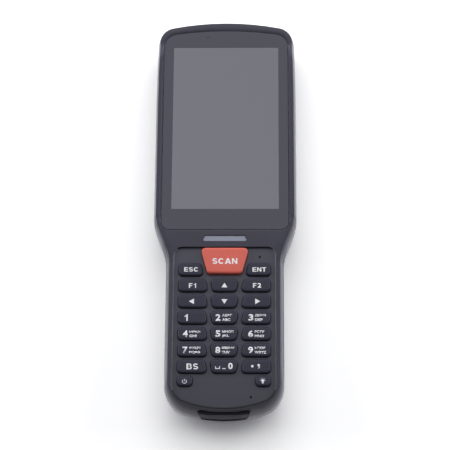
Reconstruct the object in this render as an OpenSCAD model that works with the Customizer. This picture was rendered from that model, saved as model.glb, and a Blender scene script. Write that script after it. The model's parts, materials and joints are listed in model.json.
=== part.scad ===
// Portable barcode data terminal: a keypad handheld with a 4 inch touch display and a scan engine.
// It lies on its back. X is across it, +Y is toward the scanner end and +Z is out of the display.
// The origin is the middle of its footprint on the surface it lies on. Sizes are in millimetres.

/* [Case] */
// Length over both ends
case_len = 203.6; // [202:0.2:212]
// Width across the display
head_w = 69.2; // [68.4:0.2:74]
// Width across the grip
grip_w = 56.6; // [56:0.2:60]
// Height of the front rim over the surface it lies on
case_t = 21.8; // [21.8:0.1:24]
// Height of the widest line of the sides
belly_z = 11.5; // [10.5:0.5:12.5]
// Height of the line where the housings meet
joint_z = 8; // [7.6:0.1:8.4]
// Wall of both housings
wall = 1.8; // [1.5:0.1:2]
// How far the sides curve in on their way up to the rim
front_round = 2.35; // [2:0.05:2.8]
// Angle of that curve at which it ends in the rim's crease
crease_t = 65; // [58:1:72]
// How far the rim rises from its crease to its crest
rim_rise = 0.3; // [0.15:0.05:0.5]
// Distance of the rim's crest from the widest line
crest_in = 3; // [2.6:0.1:3.6]
// Share by which the rim's outer band is wider along the grip
grip_widen = 0.45; // [0:0.05:0.6]
// How far the back edge curves in from the widest line
back_round = 5.5; // [4:0.25:6]
// Extra pull of the back edge at the foot
heel_pull = 3.5; // [1:0.5:4]
// Radius of the crown across the top end
crown_r = 130; // [110:5:160]
// Corner radius of the top end
head_corner_r = 9; // [7:0.5:10]
// Radius of the long bow of the display end's sides
head_side_r = 800; // [600:50:1200]
// Radius of both bends of the waist
waist_r = 24; // [18:1:28]
// Slope of the straight stretch between the two bends
waist_slope = 20; // [17:1:26]
// Corner radius of the foot
foot_corner_r = 14; // [12:0.5:15]
// Radius of the bow across the foot
foot_r = 64; // [60:1:80]

/* [Display] */
// Length of the lit area
active_h = 86.4; // [84:0.1:88]
// Rim of the case beside the cover glass
glass_side = 4.1; // [3.8:0.1:4.6]
// Black border beside the lit area
border_side = 4.58; // [4.2:0.02:5]
// Black border over the lit area
border_top = 8.7; // [8:0.1:9]
// Black border under the lit area
border_bot = 11; // [10.4:0.1:12]
// Thickness of the cover glass
glass_t = 1.3; // [0.9:0.1:1.4]
// Rise of the glass's top edge in its middle
glass_bow = 2.85; // [2.2:0.05:3.4]
// Corner radius of the glass at the top
glass_top_r = 6.5; // [5:0.5:8]
// Corner radius of the glass at the bottom
glass_bot_r = 3.5; // [2:0.5:5]
// Thickness of the display module
lcd_t = 4.2; // [3.6:0.1:4.4]
// Length of the indicator light's lower edge
light_w = 21.4; // [18:0.1:24]
// Height of the indicator light
light_h = 2.65; // [2:0.05:3]

/* [Keypad] */
// Width of the keypad panel
panel_w = 48.8; // [48.6:0.1:49.6]
// Depth of the panel's face under the front rim
panel_drop = 1.2; // [0.8:0.1:1.4]
// Thickness of the panel
panel_t = 1.6; // [1.4:0.1:1.8]
// Strip of housing between the glass and the panel
brow_h = 9.2; // [8.8:0.1:9.8]
// Strip of housing between the panel and the foot
chin_h = 2.8; // [2.7:0.05:3.4]
// Corner radius of the panel at the top
panel_top_r = 4; // [3:0.25:5]
// Corner radius of the panel at the foot
panel_bot_r = 8.5; // [7:0.5:9]
// Radius of the bow along the panel's lower edge
panel_bow_r = 54; // [50:1:60]
// Gap between one row of keys and the next
row_gap = 1.33; // [1.2:0.01:1.6]
// Width over a row of three keys
keys_w = 43.7; // [43:0.1:44]
// Width of a middle key along its top edge
mid_key_w = 13.72; // [13:0.02:14]
// Gap between a middle key and its neighbours
key_gap = 2.2; // [1.8:0.05:2.6]
// How far a middle key's sides lean in from top to bottom
key_lean = 1.35; // [1:0.05:1.5]
// Corner radius of a key
key_r = 1.9; // [1.2:0.1:2]
// Height of a key over the panel's face
key_rise = 1.4; // [1:0.1:1.8]
// Travel of a key
key_travel = 0.6; // [0.4:0.05:0.65]
// Width of the scan key along its top edge
scan_key_w = 23.2; // [22:0.1:23.6]
// How far the scan key's sides lean in from top to bottom
scan_lean = 3.5; // [2.8:0.1:4]
// Gap between the scan key and the keys beside it
scan_side_gap = 1.8; // [1.6:0.05:2.2]
// Height of the scan key over the panel's face
scan_key_rise = 2; // [1.6:0.1:2.6]

/* [Scanner] */
// Width of the scan window's opening
window_w = 33; // [28:0.5:34]
// Height of the scan window's opening
window_h = 8.8; // [7.5:0.1:9]
// Thickness of the scan window
window_t = 1.2; // [0.8:0.1:1.4]
// Width of the scan engine
engine_w = 22; // [18:0.5:24]
// Height of the scan engine
engine_h = 10.4; // [9:0.1:10.6]
// Depth of the scan engine
engine_d = 13.2; // [11:0.1:13.4]

/* [Battery] */
// Width of the battery pack
battery_w = 36.4; // [34:0.1:36.8]
// Thickness of the battery pack
battery_t = 8.5; // [7:0.1:8.6]
// Distance from the foot to the battery bay
bay_foot = 23.9; // [23:0.1:26]
// Thickness of the battery cover
cover_t = 1.7; // [1.6:0.05:1.8]
// Travel of the battery cover's latch
latch_travel = 2; // [1.6:0.1:2.2]

/* [Port] */
// Width of the foot's recess at its top
recess_w = 25.4; // [24:0.1:26]
// Width of the foot's recess at its bottom
recess_low_w = 21; // [20:0.1:22]
// Depth of the recess behind the port cover
recess_d = 2.7; // [2.5:0.05:2.9]
// Depth of the shallow part over the port cover
shelf_d = 1.9; // [1.7:0.05:2]
// Width of the charging socket
socket_w = 8.9; // [8:0.1:9.2]
// Height of the charging socket
socket_h = 3.2; // [2.6:0.1:3.3]

/* [Fits] */
// Gap round a part that lies in a pocket
pocket_gap = 0.3; // [0.2:0.05:0.35]
// Gap round the glass and the panel, whose edges show
show_gap = 0.15; // [0.1:0.05:0.2]
// Gap round a key
key_clear = 0.2; // [0.15:0.01:0.25]
// Gap that parts rest or slide with
slip = 0.05; // [0.03:0.01:0.08]
// Gap round a part that stands in a hole
hole_gap = 0.1; // [0.08:0.01:0.15]
// Thickness of the circuit boards
board_t = 1; // [0.8:0.1:1.2]
// Radius of a housing screw
screw_r = 1; // [0.8:0.1:1.1]
// Clearance of a screw in its hole
screw_gap = 0.08; // [0.05:0.01:0.12]

/* [Hidden] */
$fn = 48;
hair = 0.01;
through = 1;
top_y = case_len / 2;

// Heights of what is stacked under the front rim
rim_lip = 0.3;
glass_top_z = case_t - rim_lip;
tape_t = 0.2;
glass_seat_z = glass_top_z - glass_t - tape_t;
panel_z = case_t - panel_drop;
panel_seat_z = panel_z - panel_t;
ceiling_t = 1.2;
ceiling_z = panel_seat_z - ceiling_t;
flange_gap = 0.25;
flange_t = 0.8;
flange_top_z = panel_seat_z - flange_gap;
flange_z = flange_top_z - flange_t;
flange_out = 0.5;
pad_gap = 0.1;
pad_z = flange_z - key_travel - pad_gap;
pad_h = 0.45;
pad_in = 1.4;
mat_t = 0.8;
mat_top_z = pad_z - pad_h;
dome_h = 0.3;
dome_room = 0.3;
keypad_board_z = mat_top_z - mat_t - dome_h - dome_room - board_t;
keypad_board_top_z = keypad_board_z + board_t;

// Glass, waist and panel along the terminal
glass_rim = 5.7;
glass_w = head_w - 2 * glass_side;
glass_bow_r = glass_w ^ 2 / (8 * glass_bow) + glass_bow / 2;
active_w = glass_w - 2 * border_side;
glass_h = border_top + active_h + border_bot;
glass_top_y = top_y - glass_rim;
glass_bot_y = glass_top_y - glass_h;
active_top_y = glass_top_y - border_top;
waist_over = 8.4;
waist_y = glass_bot_y + waist_over;
panel_top_y = glass_bot_y - brow_h;
panel_bot_y = chin_h - top_y;

// One row's share of the panel's length, which holds keys and strips of several depths
row_share = 0.10062;
first_rows = 1.395;
small_rows = 0.887;
scan_rows = 1.644;
small_key_rows = 0.639;
row_pitch = (panel_top_y - panel_bot_y) * row_share;
key_h = row_pitch - row_gap;
scan_key_h = row_pitch * scan_rows;
small_key_h = row_pitch * small_key_rows;
first_row_y = panel_top_y - row_pitch * first_rows;
function row_y(row) = first_row_y - row_pitch * row;
small_row_y = row_y(6) - row_pitch * small_rows;

// Wall planes at both ends of the hollow
head_wall = 3.6;
foot_wall = 4.6;
head_wall_y = top_y - head_wall;
foot_wall_y = foot_wall - top_y;
floor_z = wall;
root = 0.8;

// Screw bosses: beside the scan window, under the glass's lower corners and in the foot
boss_r = 2.4;
back_boss_r = 3.2;
screw_head_r = 1.9;
screw_head_h = 1.3;
screw_len = 10;
screw_socket_r = 0.8;
screw_socket_d = 0.8;
counterbore_r = screw_head_r + pocket_gap;
counterbore_d = 3.4;
screw_hole = 8.4;
head_boss_side = 9.1;
head_boss_end = 8.2;
mid_boss_side = 9;
mid_boss_over = 0.4;
foot_boss_x = 8.6;
foot_boss_end = 10.5;
boss_places = [
    for (side = [-1, 1])
        each [
            [side * (head_w / 2 - head_boss_side), top_y - head_boss_end],
            [side * (head_w / 2 - mid_boss_side), glass_bot_y + mid_boss_over],
            [side * foot_boss_x, foot_boss_end - top_y]
        ]
];

// Display module and its bracket
lcd_side = 2.7;
lcd_over = 3.6;
lcd_under = 7;
lcd_sink = 0.1;
lcd_r = 0.6;
lcd_w = active_w + 2 * lcd_side;
lcd_h = active_h + lcd_over + lcd_under;
lcd_top_y = active_top_y + lcd_over;
lcd_bot_y = lcd_top_y - lcd_h;
lcd_z = glass_seat_z - lcd_t;
lcd_play = 0.4;
bracket_t = 0.8;
bracket_flange = 0.9;
bracket_w = lcd_w + 2 * (lcd_play + bracket_flange);
bracket_rib = 8;
bracket_windows = 3;
bracket_r = 2;

// Main board and what stands on it
main_board_z = 8.8;
main_board_top_z = main_board_z + board_t;
board_side = 5.5;
board_top = 22;
board_over = 8;
board_r = 2;
main_board_w = head_w - 2 * board_side;
main_board_top_y = top_y - board_top;
main_board_bot_y = glass_bot_y + board_over;
main_board_h = main_board_top_y - main_board_bot_y;
standoff_r = 2.2;
standoff_side = 4;
standoff_end = 5;
standoff_screw_r = 0.8;
standoff_screw_len = 4;
standoff_hole = 4.5;
standoff_head_r = 1.5;
standoff_head_h = 0.9;
standoff_places = [
    for (side = [-1, 1])
        each [
            [side * (main_board_w / 2 - standoff_side), main_board_top_y - standoff_end],
            [side * (main_board_w / 2 - standoff_side), main_board_bot_y + standoff_end]
        ]
];
can_h = 1.8;
can_side = 9;
can_gap = 4;
can_foot = 8;
can_l = 20;
can_step = 6;
high_can_l = 16;
can_r = 0.8;
cell_r = 3.4;
cell_h = 2.1;
cell_side = 14;
cell_gap = 5.8;
high_can_w = main_board_w - can_side - cell_side - cell_r - cell_gap;
card_w = 14;
card_l = 15;
card_h = 1.5;
card_side = 7;
card_foot = 12;
motor_r = 2;
motor_l = 10;
motor_side = 6;
motor_top = 22;

// Scan window and engine
window_z = 10;
window_lap = 1.6;
window_seat_y = head_wall_y + window_t + slip;
engine_drop = 0.5;
engine_back = 0.6;
engine_z = window_z - engine_h / 2 - engine_drop;
engine_front_y = head_wall_y - engine_back;
engine_back_y = engine_front_y - engine_d;
engine_r = 0.8;
lens_sink = 1;
lens_rim = 0.6;
lens_back = 0.2;
cradle_half = 2;

// Battery bay in the grip
bay_gap = 0.4;
bay_under = 2.1;
bay_w = battery_w + 2 * bay_gap;
bay_top_y = glass_bot_y - bay_under;
bay_bot_y = bay_foot - top_y;
bay_wall = 2.4;
bay_end_wall = 3.4;
bay_top_wall = 4.4;
bay_roof = 1.2;
bay_r = 1.5;
cover_sink = 0.35;
cover_lap = 0.9;
cover_over = 3;
cover_w = bay_w + 2 * cover_lap;
cover_z = cover_sink;
cover_top_z = cover_z + cover_t;
cover_seat_z = cover_top_z + slip;
battery_z = cover_top_z + pocket_gap;
bay_z = battery_z + battery_t + bay_gap;
bay_roof_z = bay_z + bay_roof;
cover_gap = 0.25;
cover_r = 4;
pin_r = 0.6;
pin_len = 1.1;
pin_end = 0.2;
cover_axis_drop = 1.2;
cover_axis_y = bay_bot_y - cover_axis_drop;
cover_axis_z = cover_z + cover_t / 2;
cover_top_y = bay_top_y + cover_over;
cover_bot_y = cover_axis_y - cover_t / 2;
contact_w = 12;
contact_h = 4.4;
contact_lift = 2;
contact_z = battery_z + contact_lift;
contact_pitch = 2.6;
contact_half = 0.5;
pad_half = 0.8;
pad_sink = 0.6;

// Latch of the battery cover: a button on a base that slides under the cover's skin
latch_w = 12.8;
latch_l = 7.5;
latch_t = 0.5;
latch_skin = 0.6;
latch_z = cover_z + latch_skin;
latch_back = 0.8;
latch_tip_y = cover_top_y - latch_back;
latch_tongue = 4.7;
latch_tongue_w = 8;
latch_base_y = latch_tip_y - latch_tongue;
latch_low_y = latch_base_y - latch_l;
latch_step = 0.5;
latch_side = 1;
latch_button_w = latch_w - 2 * latch_side;
latch_room = 1;
rib_pitch = 1.2;
rib_r = 0.25;

// Foot: recess, socket and the hinged port cover
recess_drop = 0.9;
recess_lift = 0.8;
recess_r = 0.8;
shelf_wall = 0.7;
port_swing = 2.2;
recess_top_z = case_t - recess_drop;
recess_z = joint_z + recess_lift;
recess_y = recess_d - top_y;
shelf_z = panel_seat_z - shelf_wall;
port_gap = 0.35;
port_axis_z = recess_z + port_swing;
port_axis_y = recess_y - pin_r - slip;
port_sink = 0.1;
port_chamfer = 1.15;
port_slope_h = 3;
port_slope_d = 0.5;
port_top_z = shelf_z - pocket_gap;
socket_lift = 3.6;
socket_z = port_axis_z + socket_lift;
socket_len = 7.3;
socket_wall = 0.3;
socket_back = 1;
tongue_side = 1.2;
tongue_t = 0.7;
tongue_short = 1;
mouth_side = 0.5;
mouth_over = 0.4;
plug_side = 0.3;
plug_d = 0.8;
usb_board_half = 5.2;
usb_board_end = 4;

// Indicator light in the brow
light_drop = 3.35;
light_lean = 1.25;
light_r = 0.7;
light_sink = 0.5;
light_t = 1;
light_stem_w = 15;
light_stem_d = 1.4;
light_stem_out = 0.6;
light_y = glass_bot_y - light_drop - light_h / 2;
light_z = case_t - light_sink;
light_seat_z = light_z - light_t;

// Camera, flash, speaker, microphones and antenna
camera_back = 34;
camera_y = top_y - camera_back;
camera_r = 4.6;
camera_glass_t = 0.8;
camera_sink = 0.2;
camera_ledge = 1;
camera_can_h = 4.2;
camera_base_z = 4;
camera_base_h = 1.6;
camera_room = 0.8;
flash_x = 11;
flash_r = 2;
flash_sink = 0.15;
flash_out = 0.6;
speaker_x = -16;
speaker_r = 7;
speaker_h = 3.2;
grille_pitch = 2.4;
grille_r = 0.6;
mic_r = 0.5;
mic_boot_r = 1.5;
mic_boot_gap = 0.2;
mic_h = 2;
top_mic_x = 16.7;
top_mic_rows = 0.585;
top_mic_drop = top_mic_rows * row_pitch;
foot_mic_x = 12.6;
foot_mic_lift = 5.7;
mic_places = [
    [top_mic_x, panel_top_y - top_mic_drop],
    [foot_mic_x, panel_bot_y + foot_mic_lift]
];
antenna_side = 11.5;
antenna_gap = 2;
antenna_h = 3;
antenna_end = 1;

// Keys: names of the three columns' rows, and where the scan key and the small keys lie
key_round = 1.1;
key_drop = 0.8;
scan_drop = 0.5;
scan_top_y = panel_top_y - scan_drop;
small_key_in = 14.1;
small_key_lean = 0.9;
GRID = [
    ["f1", "up", "f2"],
    ["left", "down", "right"],
    ["1", "2", "3"],
    ["4", "5", "6"],
    ["7", "8", "9"],
    ["backspace", "0", "point"]
];

// Corners of a four-sided outline with level top and bottom edges, clockwise from the top left
function trapezium(x0, x1, x2, x3, y_top, y_bot) = [[x0, y_top], [x1, y_top], [x2, y_bot], [x3, y_bot]];
function mirrored(corners, side) =
    side > 0 ? corners : [for (i = [1, 0, 3, 2]) [-corners[i][0], corners[i][1]]];
function grid_corners(y, col) =
    let (
        top = mid_key_w / 2,
        bot = top - key_lean,
        up = y + key_h / 2,
        down = y - key_h / 2,
        right = trapezium(top + key_gap, keys_w / 2, keys_w / 2, bot + key_gap, up, down)
    )
    col == 0 ? trapezium(-top, top, bot, -bot, up, down) : mirrored(right, col);
function scan_half_w(y) = scan_key_w / 2 - scan_lean * (scan_top_y - y) / scan_key_h;
function scan_corners() =
    let (
        top = scan_key_w / 2,
        bot = top - scan_lean
    )
    trapezium(-top, top, bot, -bot, scan_top_y, scan_top_y - scan_key_h);
function first_row_corners(side) =
    let (
        up = first_row_y + key_h / 2,
        down = first_row_y - key_h / 2,
        top = scan_half_w(up) + scan_side_gap,
        bot = scan_half_w(down) + scan_side_gap
    )
    mirrored(trapezium(top, keys_w / 2, keys_w / 2, bot, up, down), side);
function small_corners(side) =
    let (
        up = small_row_y + small_key_h / 2,
        down = small_row_y - small_key_h / 2
    )
    mirrored(trapezium(small_key_in, keys_w / 2, keys_w / 2, small_key_in + small_key_lean, up, down), side);

// Every key: its name and its outline's corners, clockwise from the top left
KEYS = concat(
    [["scan", scan_corners()]],
    [["escape", first_row_corners(-1)], ["enter", first_row_corners(1)]],
    [
        for (row = [0 : 5], col = [-1 : 1])
            [GRID[row][col + 1], grid_corners(row_y(row + 1), col)]
    ],
    [["power", small_corners(-1)], ["light", small_corners(1)]]
);

// An arc as samples of [point, outward normal], leaving out its first point
function arc(c, r, a0, a1, n, out = 1) = [
    for (i = [1 : n])
        let (
            a = a0 + (a1 - a0) * i / n,
            u = [cos(a), sin(a)]
        )
        [c + r * u, out * u]
];

// Right half of a symmetric end, from the centre line to the side. A bow of 0 is a straight edge.
function end_half(half_w, y, r, bow, n) =
    bow == 0
        ? concat([[[0, y], [0, 1]], [[half_w - r, y], [0, 1]]], arc([half_w - r, y - r], r, 90, 0, n))
        : let (
            c = [0, y - bow],
            k = [half_w - r, c[1] + sqrt((bow - r) ^ 2 - (half_w - r) ^ 2)],
            a = atan2(k[1] - c[1], k[0])
        )
        concat([[[0, y], [0, 1]]], arc(c, bow, 90, a, 4), arc(k, r, a, 0, n));

// The same half end seen from below, for the lower end of an outline
function flipped(half) = [
    for (i = [len(half) - 1 : -1 : 0])
        [[half[i][0][0], -half[i][0][1]], [half[i][1][0], -half[i][1][1]]]
];

// Point nearest the +X side where circles about a and b meet
function meet(a, ra, b, rb) =
    let (
        d = norm(b - a),
        u = (b - a) / d,
        s = (ra * ra - rb * rb + d * d) / (2 * d),
        h = sqrt(ra * ra - s * s),
        p = a + s * u + h * [-u[1], u[0]],
        q = a + s * u - h * [-u[1], u[0]]
    )
    p[0] > q[0] ? p : q;

side_bow = 43;

// Right half of the case's outline: crown, corner, bowed side, waist, grip and foot
waist_drop = (head_w - grip_w) / 2;
waist_line = (waist_drop - 2 * waist_r * (1 - cos(waist_slope))) / sin(waist_slope);
waist_end_y = waist_y - 2 * waist_r * sin(waist_slope) - waist_line * cos(waist_slope);
case_half =
    let (
        crown = [0, top_y - crown_r],
        side_y = top_y - side_bow,
        side = [head_w / 2 - head_side_r, side_y],
        corner = meet(crown, crown_r - head_corner_r, side, head_side_r - head_corner_r),
        a1 = atan2(corner[1] - crown[1], corner[0]),
        a2 = atan2(corner[1] - side_y, corner[0] - side[0])
    )
    concat(
        [[[0, top_y], [0, 1]]],
        arc(crown, crown_r, 90, a1, 4),
        arc(corner, head_corner_r, a1, a2, 8),
        arc(side, head_side_r, a2, 0, 2),
        [[[head_w / 2, waist_y], [1, 0]]],
        arc([head_w / 2 - waist_r, waist_y], waist_r, 0, -waist_slope, 5),
        [
            let (u = [cos(waist_slope), -sin(waist_slope)])
            [[grip_w / 2 + waist_r, waist_end_y] - waist_r * u, u]
        ],
        arc([grip_w / 2 + waist_r, waist_end_y], waist_r, 180 - waist_slope, 180, 5, -1),
        flipped(end_half(grip_w / 2, top_y, foot_corner_r, foot_r, 9))
    );

// A closed ring of the outline, set in by d at height z. The inset grows by the share grow along the
// grip and the foot's points are pulled in by heel. The ring stays within end walls at y_max and
// y_min, which bow a hair so that each point of them has a place of its own along Y.
heel_from = 70;
wall_bow = 0.0005;
function pulled(y, heel) = y + heel * pow(max(0, (-y - heel_from) / (top_y - heel_from)), 2);
function along_grip(y) = max(0, min(1, (waist_y - y) / (waist_y - waist_end_y)));
function ring(half, d, z, heel = 0, y_max = 1000, y_min = -1000, grow = 0) =
    let (
        n = len(half) - 1,
        right = [
            for (s = half)
                let (
                    p = s[0] - d * (1 + grow * along_grip(s[0][1])) * s[1],
                    bow = wall_bow * p[0] ^ 2
                )
                [max(0, p[0]), min(y_max - bow, max(y_min + bow, pulled(p[1], heel))), z]
        ]
    )
    concat(right, [for (i = [n - 1 : -1 : 1]) [-right[i][0], right[i][1], right[i][2]]]);

// A solid through a chain of symmetric rings, each a closed list of points. The first ring's cap
// faces down and the last one's faces up. Caps are ladders between the left and right sides.
module chain(rings) {
    m = len(rings[0]);
    n = m / 2;
    sides = [
        for (k = [0 : len(rings) - 2], i = [0 : m - 1])
            let (j = (i + 1) % m)
            [k * m + i, k * m + j, (k + 1) * m + j, (k + 1) * m + i]
    ];
    // Both ends of a ladder are five-sided and start at the centre line, so that a straight end
    // edge leaves no flat triangle
    faces = concat(
        [[0, 1, 2, m - 2, m - 1]],
        [for (i = [2 : n - 3]) [i, i + 1, m - i - 1, m - i]],
        [[n, n + 1, n + 2, n - 2, n - 1]]
    );
    function cap(offset, up) = [
        for (face = faces)
            [for (i = [0 : len(face) - 1]) offset + face[up ? i : (len(face) - i) % len(face)]]
    ];
    polyhedron(
        points = [for (r = rings) each r],
        faces = concat(cap(0, false), sides, cap((len(rings) - 1) * m, true)),
        convexity = 6
    );
}

// A flat plate of the same outline, as a true prism
module slab(half, d, z0, z1) {
    translate([0, 0, z0])
        linear_extrude(z1 - z0)
            polygon([for (p = ring(half, d, 0)) [p[0], p[1]]]);
}

// Rounded outline of any convex polygon with clockwise corners, grown by out
function rounded(corners, r, out, n) = [
    for (i = [0 : len(corners) - 1])
        let (
            p = corners[i],
            a = corners[(i + len(corners) - 1) % len(corners)],
            b = corners[(i + 1) % len(corners)],
            u = (a - p) / norm(a - p),
            v = (b - p) / norm(b - p),
            half = acos(u * v) / 2,
            c = p + (u + v) / norm(u + v) * r / sin(half),
            from = p + u * r / tan(half) - c,
            sweep = 180 - 2 * half,
            a0 = atan2(from[1], from[0])
        )
        for (k = [0 : n])
            let (t = a0 - sweep * k / n)
            c + (r + out) * [cos(t), sin(t)]
];

// A solid through rings of a convex outline, each ring [grown by, height]
module stack(corners, r, rings, n = 3) {
    m = len(corners) * (n + 1);
    outline = [for (s = rings) each [for (p = rounded(corners, r, s[0], n)) [p[0], p[1], s[1]]]];
    last = (len(rings) - 1) * m;
    polyhedron(
        points = outline,
        faces = concat(
            [[for (i = [m - 1 : -1 : 0]) i]],
            [
                for (k = [0 : len(rings) - 2], i = [0 : m - 1])
                    let (j = (i + 1) % m)
                    [k * m + i, k * m + j, (k + 1) * m + j, (k + 1) * m + i]
            ],
            [[for (i = [0 : m - 1]) last + i]]
        ),
        convexity = 4
    );
}

// A block between two corners, with its upright edges rounded by r
module block(lo, hi, r = 0) {
    size = hi - lo;
    translate(lo)
        if (r == 0)
            cube(size);
        else
            linear_extrude(size[2])
                hull()
                    for (x = [r, size[0] - r], y = [r, size[1] - r])
                        translate([x, y])
                            circle(r);
}

module pin(x, y, z0, z1, r) {
    translate([x, y, z0])
        cylinder(h = z1 - z0, r = r);
}

// A cylinder along X from x0 to x1
module bar(x0, x1, y, z, r) {
    translate([x0, y, z])
        rotate([0, 90, 0])
            cylinder(h = x1 - x0, r = r);
}

// Inset and height along the rounded sides: t is 90 at the back face and 0 at the belly
function back_ring(t, d = 0, z0 = 0) = ring(
    case_half,
    d + back_round * (1 - cos(t)),
    belly_z - (belly_z - z0) * sin(t),
    heel_pull * (1 - cos(t)),
    d == 0 ? 1000 : head_wall_y,
    d == 0 ? -1000 : foot_wall_y
);
// The sides over the belly end in the rim's crease, and the rim rises from it to its crest
front_rise = (case_t - rim_rise - belly_z) / sin(crease_t);
function front_ring(t) = ring(
    case_half,
    front_round * (1 - cos(t)),
    belly_z + front_rise * sin(t),
    grow = grip_widen
);
joint_t = asin((belly_z - joint_z) / belly_z);
joint_chamfer = 0.25;
joint_inset = back_round * (1 - cos(joint_t));
function joint_ring(d, z) = ring(case_half, joint_inset + d, z, heel_pull * (1 - cos(joint_t)));
function hollow_ring(d, z) = ring(case_half, d, z, 0, head_wall_y, foot_wall_y);

glass_half = concat(
    end_half(glass_w / 2, glass_top_y, glass_top_r, glass_bow_r, 6),
    flipped(end_half(glass_w / 2, -glass_bot_y, glass_bot_r, 0, 4))
);
panel_half = concat(
    end_half(panel_w / 2, panel_top_y, panel_top_r, 0, 5),
    flipped(end_half(panel_w / 2, -panel_bot_y, panel_bot_r, panel_bow_r, 7))
);

// Hole under the panel that the keys' flanges and the mat reach through: full width down to the
// last row of three, and two side bays for the small keys
keys_room = 0.5;
keys_hole_end = 1.2;
small_hole_end = 1;
keys_hole_w = keys_w + 2 * (flange_out + keys_room);
keys_hole_top_y = scan_top_y + flange_out + hole_gap;
keys_hole_bot_y = row_y(6) - key_h / 2 - keys_hole_end;
small_hole_in = small_key_in - flange_out - keys_room;
small_hole_y = small_row_y - small_key_h / 2 - small_hole_end;
module keys_hole(z0, z1, in = 0) {
    block(
        [-keys_hole_w / 2 + in, keys_hole_bot_y + in, z0],
        [keys_hole_w / 2 - in, keys_hole_top_y - in, z1]
    );
    for (side = [0, 1])
        mirror([side, 0, 0])
            block(
                [small_hole_in + in, small_hole_y + in, z0],
                [keys_hole_w / 2 - in, keys_hole_bot_y + small_hole_end + in, z1]
            );
}

light_corners = trapezium(
    -light_w / 2 + light_lean, light_w / 2 - light_lean, light_w / 2, -light_w / 2,
    light_y + light_h / 2, light_y - light_h / 2
);
module light_prism(out, z0, z1) {
    translate([0, 0, z0])
        linear_extrude(z1 - z0)
            polygon(rounded(light_corners, light_r, out, 4));
}
module light_stem(out, z0, z1) {
    block(
        [-light_stem_w / 2 - out, light_y - light_stem_d / 2 - out, z0],
        [light_stem_w / 2 + out, light_y + light_stem_d / 2 + out, z1]
    );
}

hollow_round = 1.4;
hollow_lean = 0.4;
lip_w = 0.95;
lip_drop = 0.15;
lip_over = 0.05;
module front_housing() {
    color("#3c3c44")
    difference() {
        union() {
            chain([
                hollow_ring(wall + hollow_round, ceiling_z),
                hollow_ring(wall + hollow_lean, ceiling_z - hollow_round),
                hollow_ring(wall, belly_z + through),
                hollow_ring(wall + joint_inset, joint_z),
                joint_ring(joint_chamfer, joint_z),
                joint_ring(0, joint_z + joint_chamfer),
                for (t = [0, 15, 29, 42, 54, crease_t]) front_ring(t),
                ring(case_half, crest_in, case_t, grow = grip_widen)
            ]);
            for (p = boss_places)
                pin(p[0], p[1], joint_z, ceiling_z + root, boss_r);
        }
        // Glass pocket, its sloping lip and the display's window
        slab(glass_half, -show_gap, glass_seat_z, case_t + through);
        chain([
            ring(glass_half, -show_gap, glass_top_z - lip_drop),
            ring(glass_half, -show_gap - lip_w, case_t + lip_over)
        ]);
        block(
            [-lcd_w / 2 - pocket_gap, lcd_bot_y - pocket_gap, ceiling_z - through],
            [lcd_w / 2 + pocket_gap, lcd_top_y + pocket_gap, glass_seat_z + through]
        );
        // Indicator light
        light_prism(show_gap, light_seat_z, case_t + through);
        light_stem(show_gap, ceiling_z - through, light_seat_z + through);
        // Keypad recess, the hole for the keys and the foot's microphone hole
        slab(panel_half, -show_gap, panel_seat_z, case_t + through);
        keys_hole(ceiling_z - through, panel_seat_z + through);
        pin(mic_places[1][0], mic_places[1][1], ceiling_z - through, panel_seat_z + through, mic_r);
        for (p = boss_places)
            pin(p[0], p[1], joint_z - through, joint_z + screw_hole, screw_r + screw_gap);
        window_cut();
        port_cut();
    }
}

// Opening of the scan window through the top end, with the seat for the window behind it
module window_cut() {
    seat = window_lap + pocket_gap / 2;
    block(
        [-window_w / 2, head_wall_y, window_z - window_h / 2],
        [window_w / 2, top_y + through, window_z + window_h / 2]
    );
    block(
        [-window_w / 2 - seat, head_wall_y - through, window_z - window_h / 2 - seat],
        [window_w / 2 + seat, window_seat_y, window_z + window_h / 2 + seat]
    );
}

// Prism through the foot from y outward, between two heights of the recess and set in by gap
function recess_half(z) =
    (recess_low_w + (recess_w - recess_low_w) * (z - recess_z) / (recess_top_z - recess_z)) / 2;
module foot_prism(y, z0, z1, gap = 0) {
    up = recess_half(z1) - gap;
    down = recess_half(z0) - gap;
    translate([0, y, 0])
        rotate([90, 0, 0])
            linear_extrude(top_y + y + through)
                polygon(rounded(trapezium(-up, up, down, -down, z1, z0), recess_r - gap, 0, 4));
}
// An upright cylinder that the foot's bow belongs to, set in by d
module foot_core(d, z0, z1) {
    pin(0, foot_r - top_y, z0, z1, foot_r - d, $fn = 360);
}

// Recess in the foot with its shallow part, the socket's mouth and the seats of the cover's pins
module port_cut() {
    foot_prism(recess_y, recess_z, shelf_z);
    difference() {
        foot_prism(recess_y, shelf_z - 2 * recess_r, recess_top_z);
        foot_core(shelf_d, 0, case_t);
    }
    mouth = socket_h / 2 + mouth_over;
    translate([0, foot_wall_y + through, socket_z])
        rotate([90, 0, 0])
            linear_extrude(foot_wall + 2 * through)
                hull()
                    for (side = [-1, 1])
                        translate([side * (socket_w / 2 + mouth_side - mouth), 0])
                            circle(mouth);
    bar(-port_pin_x - pin_end, port_pin_x + pin_end, port_axis_y, port_axis_z, pin_r + slip);
}
port_low_half = recess_half(port_axis_z) - port_gap;
port_pin_x = port_low_half + pin_len;

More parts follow.
